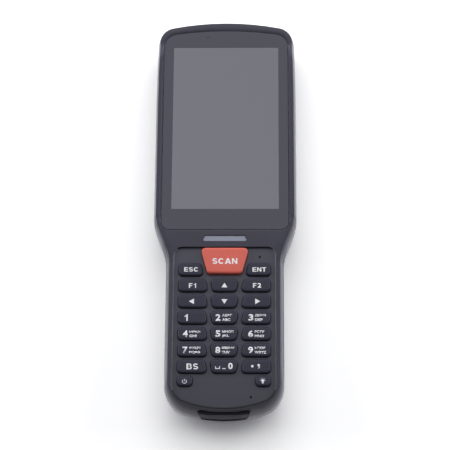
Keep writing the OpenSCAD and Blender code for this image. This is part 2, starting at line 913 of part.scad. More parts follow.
module rear_housing() {
    color("#34343b")
    difference() {
        union() {
            chain([
                for (t = [90, 80, 70, 59, 48, 36]) back_ring(t),
                joint_ring(0, joint_z - joint_chamfer),
                joint_ring(joint_chamfer, joint_z),
                hollow_ring(wall + joint_inset, joint_z),
                for (t = [40, 58, 74, 90]) back_ring(t, wall, floor_z)
            ]);
            for (p = boss_places)
                pin(p[0], p[1], floor_z - root, joint_z, back_boss_r);
            for (p = standoff_places)
                pin(p[0], p[1], floor_z - root, main_board_z, standoff_r);
            // Battery bay
            block(
                [-bay_w / 2 - bay_wall, bay_bot_y - bay_end_wall, floor_z - root],
                [bay_w / 2 + bay_wall, bay_top_y + bay_top_wall, bay_roof_z],
                bay_r
            );
            // Cradle of the scan engine
            for (side = [-1, 1])
                block(
                    [side * engine_w / 4 - cradle_half, engine_back_y + cradle_half, floor_z - root],
                    [side * engine_w / 4 + cradle_half, engine_front_y - cradle_half, engine_z]
                );
        }
        for (p = boss_places) {
            pin(p[0], p[1], -through, counterbore_d, counterbore_r);
            pin(p[0], p[1], 0, joint_z + through, screw_r + screw_gap);
        }
        for (p = standoff_places)
            pin(
                p[0], p[1],
                main_board_z - standoff_hole, main_board_z + through, standoff_screw_r + screw_gap
            );
        block(
            [-bay_w / 2, bay_bot_y, -through],
            [bay_w / 2, bay_top_y, bay_z],
            bay_r
        );
        cover_cut();
        contact_cut();
        window_cut();
        camera_cut();
        speaker_cut();
    }
}

// Sunk seat of the battery cover, its pins' holes and the slot that the latch shoots into
module cover_cut() {
    block(
        [-cover_w / 2 - cover_gap, cover_bot_y - cover_gap, -through],
        [cover_w / 2 + cover_gap, cover_top_y + cover_gap, cover_seat_z],
        cover_r + cover_gap
    );
    block(
        [-cover_w / 2 - cover_gap, cover_bot_y - cover_gap, -through],
        [cover_w / 2 + cover_gap, cover_axis_y + 2 * cover_r, cover_seat_z]
    );
    bar(
        -cover_w / 2 - pin_len - pin_end, cover_w / 2 + pin_len + pin_end,
        cover_axis_y, cover_axis_z, pin_r + slip
    );
    block(
        [-latch_tongue_w / 2 - hole_gap, cover_top_y, latch_z - hole_gap],
        [
            latch_tongue_w / 2 + hole_gap,
            latch_tip_y + latch_travel + latch_room,
            latch_z + latch_t + hole_gap
        ]
    );
}

// Window in the bay's upper end wall for the battery contacts
module contact_cut() {
    block(
        [-contact_w / 2 - hole_gap, bay_top_y - through, contact_z - hole_gap],
        [contact_w / 2 + hole_gap, bay_top_y + bay_top_wall + through, contact_z + contact_h + hole_gap]
    );
}

module camera_cut() {
    pin(0, camera_y, -through, camera_sink + camera_glass_t, camera_r + hole_gap);
    pin(0, camera_y, 0, floor_z + through, camera_r - camera_ledge);
    pin(flash_x, camera_y, -through, floor_z + through, flash_r + slip);
}

module speaker_cut() {
    for (row = [-2 : 2], col = [-2 : 2])
        if (abs(row) + abs(col) < 4)
            pin(
                speaker_x + col * grille_pitch, camera_y + row * grille_pitch,
                -through, floor_z + through, grille_r
            );
}

// Seal along the inside of the joint, open between the two bosses beside the scan window
seal_gap = 0.45;
seal_w = 0.8;
seal_h = 1.4;
seal_drop = 0.3;
module housing_seal() {
    open_x = head_w / 2 - head_boss_side + back_boss_r + hole_gap;
    color("#1c1c20")
    difference() {
        hollow_slab(slip, joint_z - seal_drop, joint_z - seal_drop + seal_h);
        hollow_slab(slip + seal_w, joint_z - through, joint_z + 2 * seal_h);
        block(
            [-open_x, top_y - head_boss_end, 0],
            [open_x, top_y, case_t]
        );
    }
}
// A prism of the hollow's outline set in by d
module hollow_slab(d, z0, z1) {
    inset = wall + joint_inset + seal_gap + d;
    translate([0, 0, z0])
        linear_extrude(z1 - z0)
            polygon([
                for (p = ring(case_half, inset, 0, 0, head_wall_y - d, foot_wall_y + d + hole_gap))
                    [p[0], p[1]]
            ]);
}

module housing_screws() {
    color("silver")
    for (p = boss_places)
        difference() {
            union() {
                pin(p[0], p[1], counterbore_d - screw_head_h, counterbore_d, screw_head_r);
                pin(p[0], p[1], counterbore_d - hair, counterbore_d + screw_len, screw_r);
            }
            translate([p[0], p[1], counterbore_d - screw_head_h - through])
                cylinder(h = through + screw_socket_d, r = screw_socket_r, $fn = 6);
        }
}

module cover_glass() {
    color("#4c4c55")
        slab(glass_half, 0, glass_seat_z + tape_t, glass_top_z);
}

module glass_tape() {
    color("#1a1a1a")
    difference() {
        slab(glass_half, hole_gap, glass_seat_z, glass_seat_z + tape_t);
        block(
            [-lcd_w / 2 - lcd_play, lcd_bot_y - lcd_play, glass_seat_z - through],
            [lcd_w / 2 + lcd_play, lcd_top_y + lcd_play, glass_seat_z + through]
        );
    }
}

// Display module: its lit area lies a hair under its metal rim
module lcd_module() {
    color("#73737c")
    difference() {
        block([-lcd_w / 2, lcd_bot_y, lcd_z], [lcd_w / 2, lcd_top_y, glass_seat_z], lcd_r);
        block(
            [-active_w / 2, active_top_y - active_h, glass_seat_z - lcd_sink],
            [active_w / 2, active_top_y, glass_seat_z + through]
        );
    }
}

// Metal tray behind the display: a plate with a flange up each long side to the housing's ceiling
module lcd_bracket() {
    low_z = lcd_z - bracket_t;
    step = (lcd_h - bracket_rib) / bracket_windows;
    color("#9a9aa0")
    difference() {
        block([-bracket_w / 2, lcd_bot_y, low_z], [bracket_w / 2, lcd_top_y, ceiling_z]);
        block(
            [-bracket_w / 2 + bracket_flange, lcd_bot_y - through, lcd_z],
            [bracket_w / 2 - bracket_flange, lcd_top_y + through, ceiling_z + through]
        );
        for (i = [0 : bracket_windows - 1])
            block(
                [-lcd_w / 4, lcd_bot_y + bracket_rib + i * step, low_z - through],
                [lcd_w / 4, lcd_bot_y + (i + 1) * step, lcd_z + through],
                bracket_r
            );
    }
}

module indicator_lens() {
    color("#8a8fa8") {
        light_prism(0, light_seat_z, light_z);
        light_stem(0, ceiling_z - light_stem_out, light_seat_z + hair);
    }
}

bezel_bevel = [[0, 0.5], [0.15, 0.15], [0.45, 0]];
module keypad_bezel() {
    color("#45454e")
    difference() {
        chain([
            ring(panel_half, 0, panel_seat_z),
            for (b = bezel_bevel) ring(panel_half, b[0], panel_z - b[1])
        ]);
        for (key = KEYS)
            translate([0, 0, panel_seat_z - through])
                linear_extrude(panel_t + 2 * through)
                    polygon(rounded(key[1], key_r, key_clear, 3));
        // The scan key's hole runs out through the panel's upper edge
        block(
            [-scan_key_w / 2 + key_r, scan_top_y - key_r, panel_seat_z - through],
            [scan_key_w / 2 - key_r, panel_top_y + through, panel_z + through]
        );
        for (p = mic_places)
            pin(p[0], p[1], panel_seat_z - through, panel_z + through, mic_r);
    }
}

// A key: flange under the panel, body and softly rounded top
module key(corners, rise) {
    stack(corners, key_r, [
        [flange_out, flange_z],
        [flange_out, flange_top_z],
        [0, flange_top_z + hair],
        for (t = [0, 33, 60, 90])
            [-key_round * (1 - cos(t)), panel_z + rise - key_drop * (1 - sin(t))]
    ]);
}

mat_in = 0.2;
skirt_t = 0.8;
module keypad_mat() {
    color("#26262b")
    difference() {
        union() {
            keys_hole(mat_top_z - mat_t, mat_top_z, mat_in);
            for (key = KEYS)
                translate([0, 0, mat_top_z - hair])
                    linear_extrude(pad_h + hair)
                        polygon(rounded(key[1], key_r, -pad_in, 1));
            // Skirt down to the board
            difference() {
                keys_hole(keypad_board_top_z, mat_top_z - mat_t + hair, mat_in);
                keys_hole(keypad_board_top_z - through, mat_top_z, mat_in + skirt_t);
            }
        }
        pin(mic_places[0][0], mic_places[0][1], 0, case_t, mic_boot_r + mic_boot_gap);
    }
}

function centre(corners) = (corners[0] + corners[1] + corners[2] + corners[3]) / 4;
dome_r = 2.2;
dome_film_t = 0.1;
module dome_sheet() {
    color("#d8d8c8") {
        difference() {
            keys_hole(
                keypad_board_top_z, keypad_board_top_z + dome_film_t,
                mat_in + skirt_t + pocket_gap
            );
            pin(mic_places[0][0], mic_places[0][1], 0, case_t, mic_boot_r + mic_boot_gap);
        }
        for (key = KEYS)
            let (c = centre(key[1]))
            pin(c[0], c[1], keypad_board_top_z, keypad_board_top_z + dome_h, dome_r);
    }
}

module keypad_board() {
    color("#1f5a3c")
    keys_hole(keypad_board_z, keypad_board_top_z, hole_gap);
}

// Flat cable that steps down from the keypad board to the main board
flex_w = 14;
flex_t = 0.2;
flex_under = 6;
flex_step = 4;
flex_lap = 5;
flex_y = scan_top_y - flex_under;
flex_end_y = main_board_bot_y + flex_t;
module keypad_flex() {
    color("#b5762a")
    translate([-flex_w / 2, 0, 0])
        rotate([90, 0, 90])
            linear_extrude(flex_w)
                polygon([
                    [flex_y, keypad_board_z - flex_t],
                    [flex_y, keypad_board_z],
                    [flex_end_y - flex_step, keypad_board_z],
                    [flex_end_y, main_board_top_z + flex_t],
                    [flex_end_y + flex_lap, main_board_top_z + flex_t],
                    [flex_end_y + flex_lap, main_board_top_z],
                    [flex_end_y, main_board_top_z],
                    [flex_end_y - flex_step - flex_t, keypad_board_z - flex_t]
                ]);
}

// The board is notched where the camera stands
module main_board() {
    notch = camera_r + camera_room;
    color("#1f5a3c")
    difference() {
        block(
            [-main_board_w / 2, main_board_bot_y, main_board_z],
            [main_board_w / 2, main_board_top_y, main_board_top_z],
            board_r
        );
        for (p = standoff_places)
            pin(
                p[0], p[1],
                main_board_z - through, main_board_top_z + through, standoff_screw_r + hole_gap
            );
        block(
            [-notch, camera_y - notch, main_board_z - through],
            [notch, camera_y + notch, main_board_top_z + through]
        );
    }
}

module shield_cans() {
    can_w = main_board_w / 2 - can_side - can_gap / 2;
    low_x = can_side - main_board_w / 2;
    color("#b8b8bc")
    for (can = [
        [low_x, can_foot, can_w, can_l],
        [can_gap / 2, can_foot, can_w, can_l],
        [low_x, can_foot + can_l + can_step, high_can_w, high_can_l]
    ])
        block(
            [can[0], main_board_bot_y + can[1], main_board_top_z],
            [can[0] + can[2], main_board_bot_y + can[1] + can[3], main_board_top_z + can_h],
            can_r
        );
}

module board_screws() {
    color("silver")
    for (p = standoff_places) {
        pin(p[0], p[1], main_board_top_z, main_board_top_z + standoff_head_h, standoff_head_r);
        pin(p[0], p[1], main_board_z - standoff_screw_len, main_board_top_z + hair, standoff_screw_r);
    }
}

module backup_cell() {
    color("silver")
        pin(
            main_board_w / 2 - cell_side, main_board_bot_y + main_board_h / 2,
            main_board_top_z, main_board_top_z + cell_h, cell_r
        );
}

module card_socket() {
    low = [card_side - main_board_w / 2, main_board_bot_y + card_foot, main_board_z - card_h];
    color("#c0c0c4")
        block(low, low + [card_w, card_l, card_h]);
}

module battery_pack() {
    color("#2a2a2e")
    difference() {
        block(
            [-battery_w / 2, bay_bot_y + bay_gap, battery_z],
            [battery_w / 2, bay_top_y - bay_gap, battery_z + battery_t],
            bay_r
        );
        // Contact pads lie in four slots of the upper end
        for (i = [-1.5 : 1.5])
            block(
                [i * contact_pitch - pad_half, bay_top_y - bay_gap - pad_sink, contact_z + pad_sink],
                [i * contact_pitch + pad_half, bay_top_y, contact_z + contact_h - pad_sink]
            );
    }
}

contact_back = 0.3;
contact_out = 0.2;
contact_side = 1;
module battery_contacts() {
    color("#c9a64a") {
        block(
            [-contact_w / 2, bay_top_y + contact_back, contact_z],
            [contact_w / 2, bay_top_y + bay_top_wall + contact_out, contact_z + contact_h]
        );
        for (i = [-1.5 : 1.5])
            block(
                [
                    i * contact_pitch - contact_half,
                    bay_top_y - contact_back,
                    contact_z + contact_side
                ],
                [
                    i * contact_pitch + contact_half,
                    bay_top_y + contact_back + hair,
                    contact_z + contact_h - contact_side
                ]
            );
    }
}

module battery_cover() {
    color("#34343b")
    difference() {
        union() {
            block(
                [-cover_w / 2, cover_axis_y, cover_z],
                [cover_w / 2, cover_top_y, cover_top_z],
                cover_r
            );
            block(
                [-cover_w / 2, cover_axis_y, cover_z],
                [cover_w / 2, cover_axis_y + 2 * cover_r, cover_top_z]
            );
            bar(-cover_w / 2, cover_w / 2, cover_axis_y, cover_axis_z, cover_t / 2);
            bar(
                -cover_w / 2 - pin_len, cover_w / 2 + pin_len,
                cover_axis_y, cover_axis_z, pin_r
            );
        }
        latch_cut();
    }
}

// Room in the cover for the latch: a window in its skin, a wider hollow behind it and the way out
// for the tongue
module latch_cut() {
    block(
        [-latch_button_w / 2 - hole_gap, latch_low_y + latch_step - hole_gap, cover_z - through],
        [
            latch_button_w / 2 + hole_gap,
            latch_base_y - latch_step + latch_travel + hole_gap,
            latch_z + hair
        ]
    );
    block(
        [-latch_w / 2 - hole_gap, latch_low_y - hole_gap, latch_z - hole_gap],
        [
            latch_w / 2 + hole_gap,
            latch_base_y + latch_travel + hole_gap,
            latch_z + latch_t + hole_gap
        ]
    );
    block(
        [-latch_tongue_w / 2 - hole_gap, latch_base_y, latch_z - hole_gap],
        [latch_tongue_w / 2 + hole_gap, cover_top_y + through, latch_z + latch_t + hole_gap]
    );
}

module battery_latch() {
    color("#2a2a30") {
        block([-latch_w / 2, latch_low_y, latch_z], [latch_w / 2, latch_base_y, latch_z + latch_t]);
        block(
            [-latch_tongue_w / 2, latch_base_y - hair, latch_z],
            [latch_tongue_w / 2, latch_tip_y, latch_z + latch_t]
        );
        block(
            [-latch_button_w / 2, latch_low_y + latch_step, cover_z + slip],
            [latch_button_w / 2, latch_base_y - latch_step, latch_z + hair]
        );
        for (i = [-2 : 2])
            bar(
                -latch_button_w / 2 + latch_side, latch_button_w / 2 - latch_side,
                (latch_low_y + latch_base_y) / 2 + i * rib_pitch, cover_z + 2 * slip, rib_r
            );
    }
}

// Imager: a block with its lens and a lamp in its face
module scan_engine() {
    lens_z = engine_z + engine_h / 2;
    lens_r = engine_h / 3;
    color("#2b2b30") {
        difference() {
            block(
                [-engine_w / 2, engine_back_y, engine_z],
                [engine_w / 2, engine_front_y, engine_z + engine_h],
                engine_r
            );
            for (x = [-engine_w / 4, engine_w / 4])
                translate([x, engine_front_y + through, lens_z])
                    rotate([90, 0, 0])
                        cylinder(h = through + lens_sink, r = lens_r);
        }
        translate([-engine_w / 4, engine_front_y - lens_back, lens_z])
            rotate([90, 0, 0])
                cylinder(h = lens_sink, r = lens_r - lens_rim);
    }
}

module scan_window() {
    color("#3a0d12")
        block(
            [-window_w / 2 - window_lap, head_wall_y, window_z - window_h / 2 - window_lap],
            [window_w / 2 + window_lap, head_wall_y + window_t, window_z + window_h / 2 + window_lap]
        );
}

module camera_module() {
    base_z = floor_z + camera_base_z;
    color("#222226") {
        pin(0, camera_y, floor_z, floor_z + camera_can_h, camera_r - lens_rim);
        block(
            [-camera_r, camera_y - camera_r, base_z],
            [camera_r, camera_y + camera_r, base_z + camera_base_h]
        );
    }
}

module camera_window() {
    color("#15151a")
        pin(0, camera_y, camera_sink, camera_sink + camera_glass_t, camera_r);
}

module flash_lens() {
    color("#f4f0dc")
        pin(flash_x, camera_y, flash_sink, floor_z + flash_out, flash_r);
}

module speaker() {
    color("#303034")
        pin(speaker_x, camera_y, floor_z, floor_z + speaker_h, speaker_r);
}

module microphones() {
    color("#202024") {
        pin(mic_places[0][0], mic_places[0][1], keypad_board_top_z, panel_seat_z, mic_boot_r);
        pin(mic_places[1][0], mic_places[1][1], ceiling_z - mic_h, ceiling_z, mic_boot_r);
    }
}

module vibration_motor() {
    color("#a0a0a4")
        translate([main_board_w / 2 - motor_side, main_board_top_y - motor_top, floor_z + motor_r])
            rotate([90, 0, 0])
                cylinder(h = motor_l, r = motor_r);
}

// Flexible antenna on a carrier, along the top end beside the scan engine
module antenna() {
    color("#b5762a")
        block(
            [antenna_side - head_w / 2, engine_back_y + antenna_end, main_board_top_z],
            [
                -engine_w / 2 - antenna_gap,
                engine_front_y - antenna_end,
                main_board_top_z + antenna_h
            ]
        );
}

module usb_board() {
    board_z = socket_z - socket_h / 2 - board_t;
    color("#1f5a3c")
        block(
            [-usb_board_half, foot_wall_y + hole_gap, board_z],
            [usb_board_half, bay_bot_y - usb_board_end, board_z + board_t]
        );
}

// Charging socket: a flattened tube with a tongue
module usb_socket() {
    color("#b8b8bc")
    translate([0, foot_wall_y + socket_len + hole_gap, socket_z])
        rotate([90, 0, 0]) {
            difference() {
                linear_extrude(socket_len)
                    socket_outline(0);
                translate([0, 0, socket_back])
                    linear_extrude(socket_len)
                        socket_outline(-socket_wall);
            }
            translate([-socket_w / 2 + tongue_side, -tongue_t / 2, socket_back / 2])
                cube([
                    socket_w - 2 * tongue_side,
                    tongue_t,
                    socket_len - socket_back / 2 - tongue_short
                ]);
        }
}
module socket_outline(out) {
    r = socket_h / 2 + out;
    hull()
        for (side = [-1, 1])
            translate([side * (socket_w / 2 - socket_h / 2), 0])
                circle(r);
}

// Rubber cover in the foot's recess: it follows the foot's bow and turns on two round pins at its
// lower edge
module port_cover() {
    plug_r = socket_h / 2 - mouth_over;
    in_y = port_axis_y + pin_r - slip;
    out_y = port_sink - top_y;
    color("#2c2d34") {
        intersection() {
            foot_prism(in_y + hair, port_axis_z - pin_r, port_top_z, port_gap);
            foot_core(port_sink, 0, case_t);
            translate([-recess_w / 2, 0, 0])
                rotate([90, 0, 90])
                    linear_extrude(recess_w)
                        polygon([
                            [in_y, port_axis_z],
                            [port_axis_y - pin_r / 2, port_axis_z],
                            [out_y, port_axis_z + port_chamfer],
                            [out_y, port_top_z - port_slope_h],
                            [out_y + port_slope_d, port_top_z],
                            [in_y, port_top_z]
                        ]);
        }
        bar(-port_pin_x, port_pin_x, port_axis_y, port_axis_z, pin_r);
        // Plug that fills the socket's mouth
        translate([0, in_y + plug_d, socket_z])
            rotate([90, 0, 0])
                linear_extrude(2 * plug_d)
                    hull()
                        for (side = [-1, 1])
                            translate([side * (socket_w / 2 - plug_side - plug_r), 0])
                                circle(plug_r);
    }
}

front_housing();
rear_housing();
housing_seal();
housing_screws();
cover_glass();
glass_tape();
lcd_module();
lcd_bracket();
indicator_lens();
keypad_bezel();
keypad_mat();
dome_sheet();
keypad_board();
keypad_flex();
main_board();
shield_cans();
board_screws();
backup_cell();
card_socket();
battery_pack();
battery_cover();
battery_latch();
battery_contacts();
scan_engine();
scan_window();
camera_module();
camera_window();
flash_lens();
speaker();
microphones();
vibration_motor();
antenna();
usb_board();
usb_socket();
port_cover();
for (k = KEYS)
    color(k[0] == "scan" ? "#cf5f50" : "#2f303a")
            key(k[1], k[0] == "scan" ? scan_key_rise : key_rise);
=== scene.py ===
import json
import math

import bmesh
import bpy
from mathutils import Matrix, Vector
from mathutils.bvhtree import BVHTree


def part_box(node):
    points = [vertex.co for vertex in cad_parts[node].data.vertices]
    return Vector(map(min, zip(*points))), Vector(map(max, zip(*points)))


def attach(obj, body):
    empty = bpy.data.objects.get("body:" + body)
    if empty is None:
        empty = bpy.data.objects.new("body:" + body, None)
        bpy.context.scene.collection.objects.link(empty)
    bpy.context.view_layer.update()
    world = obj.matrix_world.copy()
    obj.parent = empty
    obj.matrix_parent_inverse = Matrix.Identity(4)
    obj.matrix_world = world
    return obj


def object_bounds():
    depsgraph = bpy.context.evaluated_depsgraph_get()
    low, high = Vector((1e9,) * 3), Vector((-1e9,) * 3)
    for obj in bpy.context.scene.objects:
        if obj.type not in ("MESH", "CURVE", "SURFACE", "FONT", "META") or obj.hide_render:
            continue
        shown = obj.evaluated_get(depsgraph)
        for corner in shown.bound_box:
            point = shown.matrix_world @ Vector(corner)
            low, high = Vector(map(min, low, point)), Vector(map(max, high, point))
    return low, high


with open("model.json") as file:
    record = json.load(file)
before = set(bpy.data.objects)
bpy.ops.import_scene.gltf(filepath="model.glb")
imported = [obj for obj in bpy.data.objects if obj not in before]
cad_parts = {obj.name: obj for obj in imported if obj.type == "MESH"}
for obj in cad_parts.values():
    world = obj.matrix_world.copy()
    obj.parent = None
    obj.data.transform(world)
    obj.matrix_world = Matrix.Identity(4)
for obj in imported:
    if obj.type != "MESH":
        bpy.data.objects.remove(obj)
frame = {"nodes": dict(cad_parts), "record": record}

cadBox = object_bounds()
nodes = frame["nodes"]
mm = 0.001  # lengths in the dictionaries below are in mm where no other unit is given
print("frame loaded:", len(nodes), "nodes")


def shade(hexColour):  # a written screen colour as the linear light that Blender wants
    parts = [int(hexColour[i:i + 2], 16) / 255 for i in (1, 3, 5)]
    linear = [p / 12.92 if p <= 0.04045 else ((p + 0.055) / 1.055) ** 2.4 for p in parts]
    return (*linear, 1.0)


# Shader tools

class Wire:  # an output socket that can be reckoned with as a number
    def __init__(self, finish, socket):
        self.finish = finish
        self.socket = socket

    def math(self, operation, *values, clamp=False):
        settings = {"operation": operation, "use_clamp": clamp}
        return self.finish.node("ShaderNodeMath", settings, dict(enumerate(values)))

    def __add__(self, other):
        return self.math("ADD", self, other)

    def __sub__(self, other):
        return self.math("SUBTRACT", self, other)

    def __rsub__(self, other):
        return self.math("SUBTRACT", other, self)

    def __mul__(self, other):
        return self.math("MULTIPLY", self, other)

    def __truediv__(self, other):
        return self.math("DIVIDE", self, other)

    def __abs__(self):
        return self.math("ABSOLUTE", self)

    __radd__ = __add__
    __rmul__ = __mul__

    def sine(self):
        return self.math("SINE", self)

    def root(self):
        return self.math("SQRT", self)

    def clamped(self):
        return self.math("ADD", self, 0.0, clamp=True)


edgeLook = dict(samples=6, flat=0.01, sharp=0.12)  # the last two: 1 less the cosine between normals


class Finish:  # a material and the means to wire it
    def __init__(self, name, constants=None):
        self.material = bpy.data.materials.new(name)
        self.material.use_nodes = True
        self.tree = self.material.node_tree
        self.tree.nodes.clear()
        self.shader = self.tree.nodes.new("ShaderNodeBsdfPrincipled")
        output = self.tree.nodes.new("ShaderNodeOutputMaterial")
        self.tree.links.new(self.shader.outputs[0], output.inputs[0])
        self.set(constants or {})

    def node(self, kind, settings=None, values=None, output=0):
        made = self.tree.nodes.new(kind)
        for name, value in (settings or {}).items():
            setattr(made, name, value)
        self.feed(made, values or {})
        return Wire(self, made.outputs[output])

    def feed(self, node, values):
        for socket, value in values.items():
            if isinstance(value, Wire):
                self.tree.links.new(value.socket, node.inputs[socket])
            else:
                node.inputs[socket].default_value = value

    def set(self, values):  # the shader's own sockets
        self.feed(self.shader, values)

    def place(self):  # where a point is on the part, in metres
        return self.node("ShaderNodeTexCoord", output="Object")

    def axes(self):
        split = self.tree.nodes.new("ShaderNodeSeparateXYZ")
        self.tree.links.new(self.place().socket, split.inputs[0])
        return [Wire(self, split.outputs[i]) for i in range(3)]

    def noise(self, size, detail=3.0, stretch=(1, 1, 1)):  # size of one cloud in metres
        moved = self.node("ShaderNodeMapping", None, {"Vector": self.place(), "Scale": stretch})
        return self.node(
            "ShaderNodeTexNoise", None, {"Vector": moved, "Scale": 1 / size, "Detail": detail})

    def cells(self, size, shift=0.0):
        moved = self.node(
            "ShaderNodeMapping", None, {"Vector": self.place(), "Location": (shift, shift, shift)})
        return self.node("ShaderNodeTexVoronoi", None, {"Vector": moved, "Scale": 1 / size})

    def spread(self, value, low, high, to=(0.0, 1.0)):
        return self.node(
            "ShaderNodeMapRange", {"clamp": True},
            {"Value": value, "From Min": low, "From Max": high, "To Min": to[0], "To Max": to[1]})

    def mix(self, factor, first, second):
        return self.node(
            "ShaderNodeMix", {"data_type": "RGBA"}, {0: factor, 6: first, 7: second}, output=2)

    def tone(self, colour, factor):  # a colour made lighter or darker by a varying factor
        grey = self.node("ShaderNodeCombineXYZ", None, {0: factor, 1: factor, 2: factor})
        return self.node(
            "ShaderNodeMix", {"data_type": "RGBA", "blend_type": "MULTIPLY"},
            {0: 1.0, 6: colour, 7: grey}, output=2)

    def softEdges(self, radius):
        return self.node("ShaderNodeBevel", {"samples": edgeLook["samples"]}, {"Radius": radius})

    def edgeMask(self, radius):  # 1 along sharp edges, 0 on open faces
        plain = self.node("ShaderNodeNewGeometry", output="Normal")
        turned = self.node(
            "ShaderNodeVectorMath", {"operation": "DOT_PRODUCT"},
            {0: self.softEdges(radius), 1: plain}, output="Value")
        return self.spread(1 - turned, edgeLook["flat"], edgeLook["sharp"])

    def bump(self, height, depth, normal=None):
        values = {"Height": height, "Distance": depth, "Strength": 1.0}
        if normal:
            values["Normal"] = normal
        return self.node("ShaderNodeBump", None, values)


# Plastics

plasticLooks = {
    "front_shell": dict(colour="#2c2b38", rough=0.34, grain=0.16, depth=0.006, cloud=0.05, sheen=0.75),
    "rear_shell": dict(colour="#2f2f39", rough=0.42, grain=0.30, depth=0.014, cloud=0.06, sheen=0.6),
    # foot paints shade on the panel, darker towards the foot of the grip
    "keypad_panel": dict(colour="#3f3f4a", rough=0.40, grain=0.14, depth=0.004, cloud=0.05, foot=0.68),
    # the dark keys' negative edge darkens their edges: painted shade of the gap round each key
    "key_dark": dict(
        colour="#222232", rough=0.44, grain=0.12, depth=0.004, cloud=0.05, edge=-0.5, edgeWidth=0.5),
    "key_orange": dict(colour="#ca6054", rough=0.40, grain=0.12, depth=0.003, cloud=0.04),
    "dark_part": dict(colour="#222226", rough=0.45, grain=0.2, depth=0.006, cloud=0.05),
    "battery_wrap": dict(colour="#2b2c31", rough=0.36, grain=0.8, depth=0.01, cloud=0.08),
    "rubber": dict(colour="#26262f", rough=0.72, grain=0.22, depth=0.012, cloud=0.07),
}
plasticShare = dict(  # what all the plastics have in common
    specular=0.2, sheenRough=0.3, sheenTint="#f2f2ff", softEdge=0.12, edge=0.18, edgeWidth=0.22,
    cloudSize=14, speckSize=0.6, speckShift=3.0, grainTone=0.04, footShadeReach=45,
    roughDrop=0.05, grainRough=0.06, cloudRough=0.05, speckRough=0.03, edgeRough=0.06)
lipLook = dict(width=1.1, fall=0.9, ends=7.0, start=2.0, bright=4.0)
slopeLook = dict(width=3.0, fall=0.9, top=15.0, blend=2.0, headEnd=(2, -8), footEnd=(14, 24))
facetLook = dict(lift=1.9, fall=0.17)


def glassLip(finish):  # 0 beside the glass to 1 on the rim, along the glass's two long sides
    low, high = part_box("cover_glass")
    x, y, z = finish.axes()
    out = (abs(x) - high.x) / (lipLook["width"] * mm)
    ends = finish.spread(y, high.y - lipLook["ends"] * mm, high.y - 2 * lipLook["ends"] * mm)
    foot = finish.spread(y, low.y + lipLook["start"] * mm, low.y + lipLook["ends"] * mm)
    return out.clamped() * ends * foot


def gripSlope(finish):  # 0 beside the panel to 1 further out, along the grip's upper side
    low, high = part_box("keypad_bezel")
    x, y, z = finish.axes()
    out = (abs(x) - high.x) / (slopeLook["width"] * mm)
    ends = finish.spread(y, *(high.y + end * mm for end in slopeLook["headEnd"]))
    foot = finish.spread(y, *(low.y + end * mm for end in slopeLook["footEnd"]))
    upper = finish.spread(z, slopeLook["top"] * mm, (slopeLook["top"] + slopeLook["blend"]) * mm)
    return out.clamped() * ends * foot * upper


def scanFacet(finish):  # the key falls away towards its lower edge
    low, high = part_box("key_scan")
    x, y, z = finish.axes()
    return ((y - low.y) / (facetLook["lift"] * mm)).clamped()


def plastic(name, look):
    share = plasticShare
    finish = Finish(name, {
        "Specular IOR Level": share["specular"], "Sheen Weight": look.get("sheen", 0.0),
        "Sheen Roughness": share["sheenRough"], "Sheen Tint": shade(share["sheenTint"])})
    grain = finish.noise(look["grain"] * mm, detail=2.0)
    cloud = finish.noise(share["cloudSize"] * mm, detail=4.0)
    specks = finish.cells(share["speckSize"] * mm, share["speckShift"])
    edges = finish.edgeMask(look.get("edgeWidth", share["edgeWidth"]) * mm)
    factor = 1 - look["cloud"] + cloud * (2 * look["cloud"])
    # along sharp edges the tone moves by edge: lighter on most plastics, darker on the dark keys as painted
    # shade
    factor = factor + edges * look.get("edge", share["edge"]) + grain * share["grainTone"]
    rough = (
        look["rough"] - share["roughDrop"] + grain * share["grainRough"] + cloud * share["cloudRough"]
        + specks * share["speckRough"] - edges * share["edgeRough"])
    normal = finish.bump(grain, look["depth"] * mm, finish.softEdges(share["softEdge"] * mm))
    if "foot" in look:  # painted shade: slightly darker towards the foot of the grip
        x, y, z = finish.axes()
        end = cadBox[0].y
        factor = factor * finish.spread(y, end, end + share["footShadeReach"] * mm, (look["foot"], 1.0))
    if name == "front_shell":
        rim, slope = glassLip(finish), gripSlope(finish)
        # painted highlight: the rim's slope beside the glass is made lighter, most of all midway across it
        factor = factor + rim * (1 - rim) * lipLook["bright"]
        normal = finish.bump(rim * lipLook["fall"] - slope * slopeLook["fall"], mm, normal)
    if name == "key_orange":
        normal = finish.bump(scanFacet(finish), facetLook["fall"] * mm, normal)
    colour = finish.tone(shade(look["colour"]), factor)
    finish.set({"Base Color": colour, "Roughness": rough, "Normal": normal})
    return finish.material


# Metals

metalLooks = {
    "bright_metal": dict(colour="#c9c9cd", rough=0.24, stretch=(1, 12, 12)),
    "light_alloy": dict(colour="#a8a8ad", rough=0.38, stretch=(10, 1, 10)),
    "gold": dict(colour="#d9b45a", rough=0.22, stretch=(1, 1, 8)),
}
metalShare = dict(
    brushSize=1.5, stainSize=5, tone=0.9, brush=0.12, stain=0.06, roughDrop=0.04, depth=0.004, softEdge=0.08)


def metal(name, look):
    share = metalShare
    finish = Finish(name)
    brushed = finish.noise(share["brushSize"] * mm, detail=4.0, stretch=look["stretch"])
    stain = finish.noise(share["stainSize"] * mm)
    factor = share["tone"] + brushed * share["brush"] + stain * share["stain"]
    finish.set({
        "Base Color": finish.tone(shade(look["colour"]), factor),
        "Roughness": look["rough"] - share["roughDrop"] + brushed * share["brush"] + stain * share["stain"],
        "Metallic": 1.0,
        "Normal": finish.bump(brushed, share["depth"] * mm, finish.softEdges(share["softEdge"] * mm))})
    return finish.material


# Boards and the flat cable

boardLook = dict(
    mask="#14502f", copper="#2b7a49", spot="#c8c9c4", coat=0.5, coatRough=0.15, waves=2200, wobble=9,
    wobbleSize=3, runs=(0.2, 0.5), runShare=0.35, spotSize=0.9, spots=(0.08, 0.05), rough=0.35,
    spotRough=0.1, depth=0.02)


